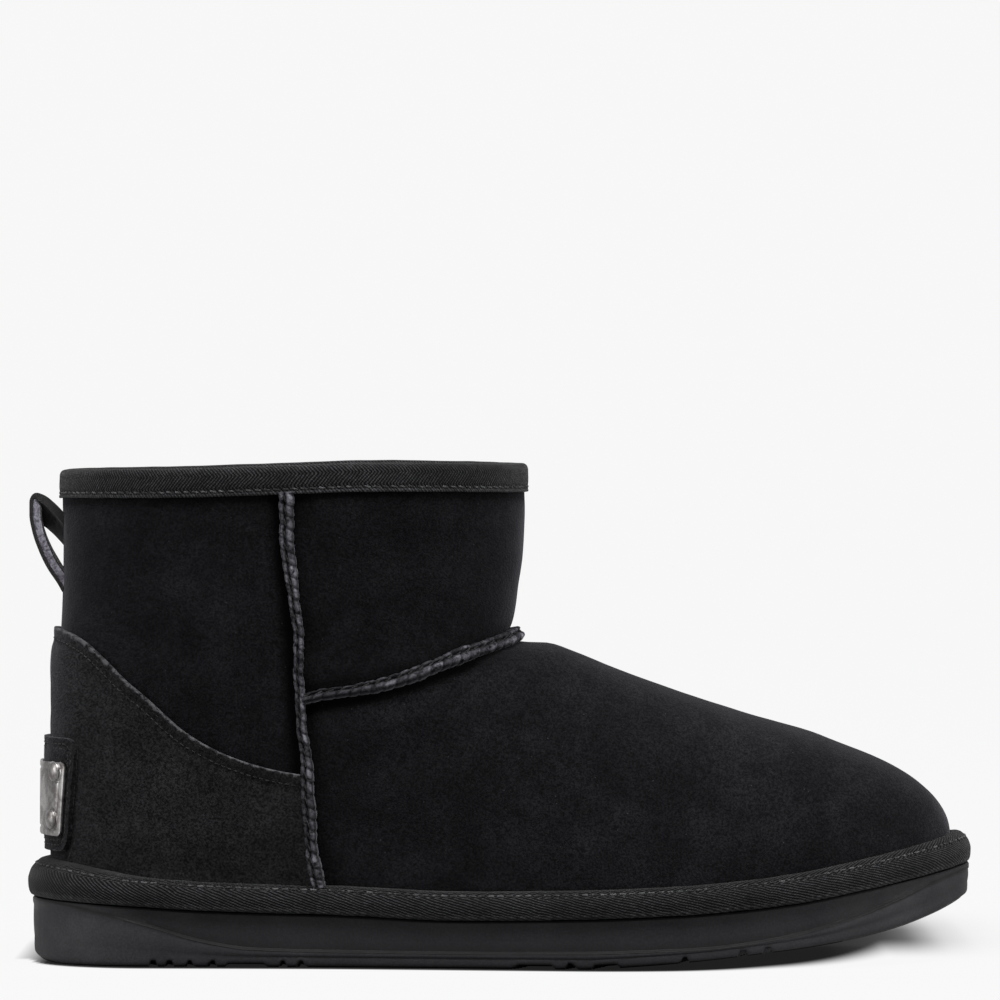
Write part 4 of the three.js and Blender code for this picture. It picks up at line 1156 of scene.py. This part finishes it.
for row, (gap, thread_thick) in enumerate(((1.5, 0.42), (3.2, 0.36))):
    line_arcs = np.linspace(-REACH + 2.2, REACH - 2.2, 260)
    line_x = heel_point(line_arcs, MIDDLE_Z)[:, 0]
    top, low = counter_top(line_x), sole_z(line_x, TOP) + welt_top(line_arcs) - 3
    slope = np.gradient(top, line_arcs)
    share = 1 - gap * np.sqrt(1 + slope**2) / (top - low)
    arc, z = counter_place(line_arcs, share)
    out = heel_normal(arc, z)
    line = heel_point(arc, z) + out * (COUNTER_SEAT + COUNTER_THICK - 0.28)
    name = f"counter_stitches_{row + 1}"
    stitch_row(name, line, out, 1.9, 1.2, thread_thick, faint_thread, "counter_suede")

# %% [markdown]
# ## Patch, plate and rivets
# A second piece of suede with round corners is sewn across the heel, and a thin brushed plate is riveted to
# it. Both are grids bent round the heel by arc and height. The plate has a pressed border, and a dimple round
# each rivet, which is half a ball flattened.


# %% Bent rectangles on the heel
def bent_grid(wide, narrow, low, high, corner, columns, rows):
    """Arc and height of a grid with round corners, narrower at the bottom by a share of its breadth"""
    arc = wide / 2 * np.sin(np.linspace(-1, 1, columns + 1) * pi / 2)[None, :]
    into = np.maximum(0, np.abs(arc) - (wide / 2 - corner))
    drop = corner - np.sqrt(np.maximum(corner**2 - into**2, 0))
    share = np.linspace(0, 1, rows + 1)[:, None]
    z = mix(low + 0.98 * drop, high - 0.98 * drop, share)
    return arc * mix(narrow, 1, (z - low) / (high - low)), z


def edge_distance(arc, z, wide, narrow, low, high, _corner):
    half = wide / 2 * mix(narrow, 1, (z - low) / (high - low))
    return np.minimum(np.minimum(z - low, high - z), half - np.abs(arc))


PATCH = (51.6, 0.84, 32.6, 65.2, 5)
PLATE = (44.4, 0.9, 37, 58.2, 1.6)
PATCH_LOW = COUNTER_SEAT + COUNTER_THICK + SEAT
PLATE_LOW = PATCH_LOW + PATCH_THICK + SEAT
RIVETS = [(17.4, 55.4), (15.6, 41.6), (-17.4, 55.4), (-15.6, 41.6)]

arc, z = bent_grid(*PATCH, 110, 70)
points, outward = heel_point(arc, z), heel_normal(arc, z)
x, y, _ = np.moveaxis(points, -1, 0)
edge = edge_distance(arc, z, *PATCH)
rise = PATCH_LOW + PATCH_THICK - 0.16 * np.exp(-(((edge - 2.2) / 1.1) ** 2)) + 0.16 * lumps(x, y, z, 5, 6)
patch = lay_grid("badge_patch_suede", points + outward * rise[..., None])
thicken(patch, 1.5, edge=0.4)


def arc_of(x, z):
    """Length round the heel from its middle to a place x on the upper's face"""
    return HEEL_CAP * np.arccos(np.clip(1 - (x - shaft(z, BACK)) / HEEL_CAP, -1, 1))


mark(patch, "raw_edge", lambda px, py, pz: np.clip(1 - edge_distance(arc_of(px + 2, pz), pz, *PATCH) / 1.1, 0, 1))
finish_piece(patch, suede_patch, "patch_suede", "badge_patch")


def border_line(inset, count=400):
    """A line round the patch, inset from its border"""
    wide, narrow, low, high, corner = PATCH
    half, low, high, corner = wide / 2 - inset, low + inset, high - inset, corner - inset * 0.5
    points = []
    for cx, cz, start in ((1, 1, 0), (-1, 1, 1), (-1, -1, 2), (1, -1, 3)):
        for t in np.linspace(0, pi / 2, 12):
            angle = start * pi / 2 + t
            base_z = high - corner if cz > 0 else low + corner
            point_z = base_z + corner * np.sin(angle)
            taper = mix(narrow, 1, (point_z - low) / (high - low))
            points.append(((cx * (half - corner) + corner * np.cos(angle)) * taper, point_z))
    points.append(points[0])
    flat = np.array(points)
    run = run_along(flat)
    even = np.linspace(0, run[-1], count)
    return np.interp(even, run, flat[:, 0]), np.interp(even, run, flat[:, 1])


for row, inset in enumerate((1.7, 3.0)):
    arc, z = border_line(inset)
    out = heel_normal(arc, z)
    line = heel_point(arc, z) + out * (PATCH_LOW + PATCH_THICK - 0.2)
    stitch_row(f"patch_stitches_{row + 1}", line, out, 2.3, 1.6, 0.5, faint_thread, "patch_suede")

# %% Plate
arc, z = bent_grid(*PLATE, 160, 90)
edge = edge_distance(arc, z, *PLATE)
border = 0.22 * (smoothstep(edge, 1.5, 1.9) - smoothstep(edge, 2.3, 2.7))
around = np.min([np.hypot(arc - a, z - h) for a, h in RIVETS], axis=0)
dimple = 0.4 * np.exp(-(((around - 3.1) / 0.32) ** 2))
rise = PLATE_LOW + PLATE_THICK - border - dimple - 0.12 * smoothstep(0.5 - edge, 0, 0.5)
points = heel_point(arc, z) + heel_normal(arc, z) * rise[..., None]
plate = lay_grid("badge_plate_steel", points)
thicken(plate, 0.7, edge=0.15)
finish_piece(plate, steel_plate, "plate_steel", "badge_plate")

# %% Rivets
for k, (arc, z) in enumerate(RIVETS):
    out = Vector(heel_normal(arc, z))
    foot = Vector(heel_point(arc, z)) + out * (PLATE_LOW + PLATE_THICK - 0.1)
    bpy.ops.object.select_all(action="DESELECT")
    bpy.ops.mesh.primitive_uv_sphere_add(segments=28, ring_count=14, radius=2.9 * MM)
    rivet = bpy.context.object
    bpy.ops.object.mode_set(mode="EDIT")
    bpy.ops.mesh.select_all(action="SELECT")
    bpy.ops.mesh.bisect(plane_co=(0, 0, 0), plane_no=(0, 0, -1), clear_outer=True, use_fill=True)
    bpy.ops.mesh.select_all(action="SELECT")
    bpy.ops.transform.resize(value=(1, 1, 0.45), center_override=(0, 0, 0))
    bpy.ops.object.mode_set(mode="OBJECT")
    bpy.ops.object.shade_smooth_by_angle(angle=radians(40))
    rivet.data.transform(Matrix.Translation(foot * MM) @ out.to_track_quat("Z", "Y").to_matrix().to_4x4())
    rivet.name = f"rivet_head_{k + 1}"
    finish_piece(rivet, steel_rivet, "rivet_steel", f"badge_rivet_{k + 1}")

# %% [markdown]
# ## Taped welt
# Where the upper meets the sole, a twill tape is folded over a cord and sewn round the whole boot. It is a
# closed band: its cross-section goes from the upper's face out over the rounded edge and back under, and the
# section changes a little from heel to toe.


# %% Sole outline and welt
def sole_loop(count, heel_x, front_x, inset):
    """The plan outline of the sole family, its last point on its first"""
    turn = np.linspace(0, 2 * pi, count + 1)
    side = np.where(turn <= pi + 1e-9, -1.0, 1.0)
    x = mix(heel_x, front_x, (1 - np.cos(turn)) / 2)
    y = side * plan_reach(x, side, heel_x, front_x, inset)
    y[0] = y[-1] = 0
    return np.stack([x, y, np.zeros_like(x)], axis=1)


def even_section(section, count):
    """A cross-section's corners turned into count + 1 points on a smooth line, in even steps"""
    steps = run_along(section)
    rows = np.column_stack([steps, section])
    even = np.linspace(0, steps[-1], count + 1)
    return np.stack([table(rows, c, even) for c in range(1, section.shape[1] + 1)], axis=1)


WELT_COUNT = 560
outer = sole_loop(WELT_COUNT, -HALF, HALF, -WELT_OVERHANG)
foot_loops = np.stack([offset_plan(loop, SEAT - 0.5) for loop in upper_loops(np.linspace(-1, 0, 12), WELT_COUNT)])
heel = smoothstep(-outer[:, 0], 104, HALF)
toe = smoothstep(outer[:, 0], 100, HALF)
welt_rises = WELT_RISE + WELT_HEEL_EXTRA * heel + WELT_TOE_EXTRA * toe
WELT_SECTION = np.array(
    [(0, 0.93), (0.2, 0.985), (0.36, 1), (0.55, 0.965), (0.72, 0.875), (0.86, 0.75), (0.95, 0.6), (1, 0.42)]
    + [(0.995, 0.28), (0.97, 0.12), (0.9, 0.01), (0.5, 0)]
)
section = even_section(WELT_SECTION * (6.5, 8.5), 44) / (6.5, 8.5)
welt_rows = []
for share, height in section:
    z = sole_z(outer[:, 0], TOP) + SEAT + height * welt_rises
    row = np.empty_like(outer)
    for k in range(WELT_COUNT + 1):
        at = np.clip(z[k], foot_loops[0, k, 2], foot_loops[-1, k, 2])
        inner_x = np.interp(at, foot_loops[:, k, 2], foot_loops[:, k, 0])
        inner_y = np.interp(at, foot_loops[:, k, 2], foot_loops[:, k, 1])
        row[k] = (mix(inner_x, outer[k, 0], share), mix(inner_y, outer[k, 1], share), z[k])
    welt_rows.append(row)
welt_points = np.array(welt_rows)[::-1]
welt_out = grid_normals(welt_points, True)
welt_run = run_along(outer)
STITCH_ROW = 29  # row of the welt's grid that its stitches lie on
rows_off = np.abs(np.arange(len(welt_points)) - STITCH_ROW)[:, None]
WELT_PITCH = welt_run[-1] / round(welt_run[-1] / 2.7)
dents = 0.22 * np.exp(-((rows_off / 2.4) ** 2)) * (1 + 0.45 * np.cos(2 * pi * welt_run / WELT_PITCH)[None, :])
x, y, z = np.moveaxis(welt_points, -1, 0)
soft = 0.12 * lumps(x, y, z, 6, 12)
low_rows = ((section[::-1, 1] < 0.15) & (section[::-1, 0] > 0.9))[:, None]
selvage = low_rows * (0.6 + 0.4 * np.cos(2 * pi * welt_run / WELT_PITCH)[None, :])
welt_tape = lay_grid("welt_tape", welt_points + welt_out * (soft - dents)[..., None], selvage=selvage)
welt_twill = twill("welt twill", 0.0006, 0.0195, welt_run[-1], 15, 0.72, 9, 0.36)
finish_piece(welt_tape, welt_twill, "twill_tape", "welt_binding")
line, out = welt_points[STITCH_ROW], welt_out[STITCH_ROW]
stitch_row("welt_stitches", line - out * 0.12, out, 2.7, 1.9, 0.65, light_thread, "twill_tape")

# %% [markdown]
# ## Collar tape
# The same tape is folded over the top edge, outside and in, and sewn through near its lower selvage. Its
# section is a narrow arch, opened at the bottom; a thin selvage ridge runs along both its low edges.

# %% Collar
COLLAR_COUNT = 420
top_loop = upper_loops([2.0], COLLAR_COUNT)[0]
LOW_LEVEL = 2 - 12.6 / 72.5  # the level 12.6 mm under the top edge
low_loop = upper_loops([LOW_LEVEL], COLLAR_COUNT)[0]
tangent = np.roll(top_loop[:-1], -1, 0) - np.roll(top_loop[:-1], 1, 0)
tangent = np.vstack([tangent, tangent[:1]])
collar_out = np.stack([tangent[:, 1], -tangent[:, 0], np.zeros(len(tangent))], axis=1)
collar_out /= np.linalg.norm(collar_out, axis=1, keepdims=True)
OUTSIDE, INSIDE = SEAT + TAPE_THICK, -WALL - SEAT - TAPE_THICK
DEPTH = COLLAR_BAND + 0.3
COLLAR_SECTION = np.array(
    [(SEAT - 0.3, -DEPTH + 0.1), (OUTSIDE - 0.15, -DEPTH), (OUTSIDE, -DEPTH + 0.35), (OUTSIDE - 0.1, -DEPTH + 1.2)]
    + [(OUTSIDE, -4), (OUTSIDE, -1.9), (OUTSIDE - 0.45, -0.6), (OUTSIDE - 1.4, -0.1), (-2, 0)]
    + [(INSIDE + 1.4, -0.1), (INSIDE + 0.45, -0.6), (INSIDE, -1.9), (INSIDE, -4), (INSIDE + 0.05, -DEPTH + 1.2)]
    + [(INSIDE, -DEPTH + 0.35), (INSIDE + 0.15, -DEPTH), (INSIDE + 0.9, -DEPTH + 0.1)]
)
section = even_section(COLLAR_SECTION, 72)
crown = top_loop[:, 2] + RIM_DROP
collar_rows = []
for out_by, drop in section:
    z = crown + drop
    t = np.clip((z - low_loop[:, 2]) / (top_loop[:, 2] - low_loop[:, 2]), 0, 1)[:, None]
    row = mix(low_loop, top_loop, t)
    row[:, 2] = z
    collar_rows.append(row + collar_out * out_by)
collar_points = np.array(collar_rows)
collar_normal = grid_normals(collar_points, True)
collar_run = run_along(top_loop)
STITCH_AT = int(np.argmin(np.abs(section[:, 1] + DEPTH - 1.5) + (section[:, 0] < 0) * 99))
rows_off = np.abs(np.arange(len(section)) - STITCH_AT)[:, None]
COLLAR_PITCH = collar_run[-1] / round(collar_run[-1] / 2.6)
dents = 0.2 * np.exp(-((rows_off / 2.2) ** 2)) * (1 + 0.4 * np.cos(2 * pi * collar_run / COLLAR_PITCH)[None, :])
x, y, z = np.moveaxis(collar_points, -1, 0)
soft = 0.12 * lumps(x, y, z, 7, 14)
low_rows = ((section[:, 1] < -DEPTH + 0.9) & (section[:, 0] > OUTSIDE - 0.5))[:, None]
selvage = low_rows * (0.5 + 0.4 * np.cos(2 * pi * collar_run / COLLAR_PITCH)[None, :])
collar = lay_grid("collar_tape", collar_points + collar_normal * (soft - dents)[..., None], selvage=selvage)
tape_width = float(np.sum(np.linalg.norm(np.diff(section, axis=0), axis=1)))
collar_twill = twill("collar twill", 0.0024, 0.0225, collar_run[-1], tape_width, 0.74, 3.4, 0.8)
finish_piece(collar, collar_twill, "twill_tape", "collar_binding")
line, out = collar_points[STITCH_AT], collar_normal[STITCH_AT]
stitch_row("collar_stitches", line - out * 0.12, out, 2.6, 1.9, 0.55, light_thread, "twill_tape", -0.18)

# %% [markdown]
# ## Pull loop
# A strap of woven tape is bent over at the back and sewn on aslant under the collar. Two black layers lie over
# a paler core, which shows along its edges.


# %% Pull loop
LOOP_WIDE, LOOP_SLOPE = 13, 0.55
CORE_LEG = 78  # step of the strap's line up to which its pale core shows
# x and z of the strap's middle line with its slant, from its low end up and over to its high end
LOOP_LINE = np.array(
    [
        (-126.2, 107.6, 0),
        (-127.6, 110.1, 0),
        (-130.7, 114.8, 0),
        (-133, 119.6, 0.1),
        (-134.8, 124.9, 0.25),
        (-135.6, 129.6, 0.5),
        (-135.6, 133.2, 0.85),
        (-134.7, 134.8, 1),
        (-132.9, 134.2, 1),
        (-130.4, 132.3, 1),
        (-127.9, 129.8, 1),
        (-126, 127.6, 1),
    ]
)
line = even_section(LOOP_LINE, 110)
direction = np.gradient(line[:, :2], axis=0)
direction /= np.linalg.norm(direction, axis=1, keepdims=True)
STRAP_HALF, SEWN_EXTRA = 1.15, 1.25  # half its thickness, and how much more its sewn leg has inside
rim = [(-1, 1), (1, 1), (1, -1), (-1, -1)]
strap_section = []
for k in range(4):
    (y0, t0), (y1, t1) = rim[k], rim[(k + 1) % 4]
    steps = 26 if y0 != y1 else 12
    for s in np.arange(steps) / steps:
        strap_section.append((mix(y0, y1, s), mix(t0, t1, s)))
strap_section.append(strap_section[0])
strap_section = np.array(strap_section)
rows = []
for step_at, ((px, pz, slant), (dx, dz)) in enumerate(zip(line, direction)):
    across, through = strap_section.T
    end = np.abs(across) > 0.999
    low_leg = 1 - smoothstep(step_at, CORE_LEG - 8, CORE_LEG)
    core = end & (through < 0.12) & (through > -0.88) & (low_leg > 0.02)
    width = LOOP_WIDE / 2 * across * np.where(core, 0.965, 1)
    off = through * np.where(through > 0, STRAP_HALF, STRAP_HALF + SEWN_EXTRA * low_leg)
    x = px - dz * off
    z = pz + dx * off - LOOP_SLOPE * (width + LOOP_WIDE / 2) * slant
    rows.append(np.stack([x, width, z], axis=1))
strap_points = np.array(rows)
strap = lay_grid("pull_strap", strap_points[:, ::-1])
close_holes(strap)
bpy.ops.object.shade_smooth_by_angle(angle=radians(35))
strap.data.materials.append(strap_cloth("strap cloth", 45, 13))
strap.data.materials.append(core_cloth("strap core"))
for face in strap.data.polygons:
    ys = [abs(strap.data.vertices[i].co.y) for i in face.vertices]
    face.material_index = 1 if min(ys) > LOOP_WIDE / 2 * 0.96 * MM and max(ys) < LOOP_WIDE / 2 * 0.97 * MM else 0
finish_piece(strap, None, "strap_cloth", "pull_loop")

# %% [markdown]
# ## Sole
# The sole is moulded foam. Its side has a step: an upper band under the welt and a slightly proud lower band,
# painted a little lighter for the light that it catches. The line of the step runs up into the top edge at the
# heel and at the toe. Wavy grooves cross the tread, two broad rests lie between the lugs, and the heel and toe
# are sprung up from the ground. The whole skin of the sole is one grid: rings from the middle of the tread out
# to its edge, then up the side and in under the boot.

# %% Sole outline and grooves
SOLE_COUNT = 900
outline = sole_loop(SOLE_COUNT, SOLE_HEEL_X, SOLE_TOE_X, 0)
outline_in = offset_plan(outline, -1)


def sole_ring(inset, height):
    moved = mix(outline, outline_in, np.asarray(inset)[..., None] if np.ndim(inset) else inset)
    moved[:, 2] = height
    return moved


ox = outline[:, 0]
top, under = sole_z(ox, TOP), sole_z(ox, UNDER)
step = np.minimum(sole_z(ox, STEP), top - 1.6)
fade = smoothstep(top - sole_z(ox, STEP), 1, 7)
# middle x, width and depth of each groove of the tread
GROOVES = [
    (-101.7, 2.2, 1.6),
    (-96.8, 2.2, 1.6),
    (-91, 2.2, 1.6),
    (-84.4, 2.2, 1.6),
    (-74.6, 12, 0.8),
    (-63.8, 2.2, 1.6),
    (-58.4, 2.2, 1.6),
    (11.6, 11.5, 1),
    (22.4, 2.4, 1.6),
    (32.4, 7, 1.1),
    (55, 2.4, 1.6),
    (71.6, 2.4, 1.6),
    (78.4, 2.4, 1.6),
]


def from_side(x, y):
    """Distance in Y from the sole's outline"""
    return plan_reach(x, np.where(y < 0, -1, 1), SOLE_HEEL_X, SOLE_TOE_X, 0) - np.abs(y)


def groove_rise(x, y):
    """How far the tread is cut up at a point; the broad rests fade out towards the middle"""
    rise = np.zeros_like(x)
    for middle, width, depth in GROOVES:
        off = np.abs(x - middle - 2.2 * np.cos(y / 16 * pi))
        cut_here = depth * (1 - smoothstep(off, width / 2 - 0.35, width / 2 + 0.15))
        if width > 5:
            cut_here *= 1 - 0.85 * smoothstep(from_side(x, y), 5, 12)
        rise = np.maximum(rise, cut_here)
    return rise


print("grooves:", len(GROOVES))

# %% Sole rings
cut_up = groove_rise(outline[:, 0], outline[:, 1])
wall_rings = [
    sole_ring(1.5, under + cut_up),
    sole_ring(1.05, under + 0.06 + cut_up * 0.97),
    sole_ring(0.75, under + 0.28 + cut_up * 0.92),
    sole_ring(0.55, under + 0.7 + cut_up * 0.8),
    sole_ring(0.47, under + 1.4 + cut_up * 0.55),
    sole_ring(0.42, under + 2.4 + cut_up * 0.25),
]
for share in np.linspace(0.2, 0.92, 9):
    bow = 0.32 - 0.3 * np.sin(share * pi)
    wall_rings.append(sole_ring(0.4 * (1 - share) + bow, mix(under + 2.4, step, share)))
wall_rings += [
    sole_ring(0.05 + 0.12 * fade, step - 0.15),
    sole_ring(STEP_DEPTH * fade * 0.35, step + 0.12),
    sole_ring(STEP_DEPTH * fade * 0.8, step + 0.28),
    sole_ring(STEP_DEPTH * fade, step + 0.55),
    sole_ring(STEP_DEPTH * fade, mix(step + 0.55, top - 0.6, 0.3)),
    sole_ring(STEP_DEPTH * fade * 0.85, mix(step + 0.55, top - 0.6, 0.65)),
    sole_ring(STEP_DEPTH * fade * 0.6, top - 0.6),
    sole_ring(STEP_DEPTH * fade * 0.6 + 0.3, top - 0.15),
    sole_ring(1.5, top),
    sole_ring(4, top),
]
# The underside: rings drawn in to a line along the middle, each point lifted by the grooves
centre_x = np.clip(ox, -100, 92)
centre = np.stack([centre_x, plan(centre_x, SPINE) * 0.9, 0 * ox], axis=1)
bottom = []
for share in np.linspace(0, 0.985, 76):
    ring = mix(centre, wall_rings[0], share)
    ring[:, 2] = sole_z(ring[:, 0], UNDER) + groove_rise(ring[:, 0], ring[:, 1])
    bottom.append(ring)
sole_points = np.array(bottom + wall_rings)
sole = lay_grid("foam_sole", sole_points)
close_holes(sole)
bpy.ops.object.shade_smooth_by_angle(angle=radians(38))


# %% Finish of the sole
def lit_low_band(px, py, pz):
    """1 on the lower band of the side, which is painted lighter for the light that it catches"""
    return smoothstep(sole_z(px, STEP) - pz, -0.1, 0.3)


def ledge(px, py, pz):
    """1 on the narrow ledge of the step, painted darker as shade so that it shows no bright line under the top
    light
    """
    return np.exp(-(((pz - sole_z(px, STEP) - 0.15) / 0.5) ** 2))


mark(sole, "lit_low_band", lit_low_band)
mark(sole, "shade", ledge)
sole.data.materials.append(foam_sole)
sole.data.materials.append(shaded_tread_foam)
# Faces that look down take the darker foam, painted as in shade
for face in sole.data.polygons:
    face.material_index = 1 if face.normal.z < -0.8 else 0
finish_piece(sole, None, "sole_foam", "sole")

# %% [markdown]
# ## Shadow
# The card glows, so the boot throws no shadow of its own on it. A thin sheet of the same card lies under the
# boot and is dark where the boot stands, up to a narrow line in front of the sole. Under the lifted toe light
# comes in from the front, so the shadow draws back there as the gap grows, gets soft, and fades out behind.

# %% Shadow sheet
# x: how dark the shadow is
SHADE_ROWS = [
    (-142, 0),
    (-137, 0.5),
    (-131, 0.985),
    (95, 0.985),
    (106, 0.97),
    (114, 0.95),
    (122, 0.863),
    (128, 0.606),
    (134, 0.285),
    (139, 0.166),
    (144, 0.07),
    (156, 0.02),
    (170, 0),
]
x, y = np.meshgrid(np.linspace(-160, 176, 225), np.linspace(-75, 260, 225))
gap = sole_z(x, UNDER)
near_edge = -plan_reach(x, np.full_like(x, -1.0), SOLE_HEEL_X, SOLE_TOE_X, 0)
starts = np.minimum(near_edge - 5 + 0.7 * gap**2, 45)
blur = np.minimum(2.5 + 0.34 * gap**2, 46)
behind = 1 - smoothstep(y, 60 + 60 * smoothstep(x, 90, 125), 110 + 140 * smoothstep(x, 90, 125))
dark = table(SHADE_ROWS, 1, x) * smoothstep(y, starts - blur, starts + blur) * behind
sheet = lay_grid("shadow_sheet", np.stack([x, y, np.full_like(x, -0.1)], axis=-1), shadow=dark)
sheet.data.materials.append(card)
print("shadow sheet:", len(sheet.data.polygons), "faces")

# %% [markdown]
# ## Ready
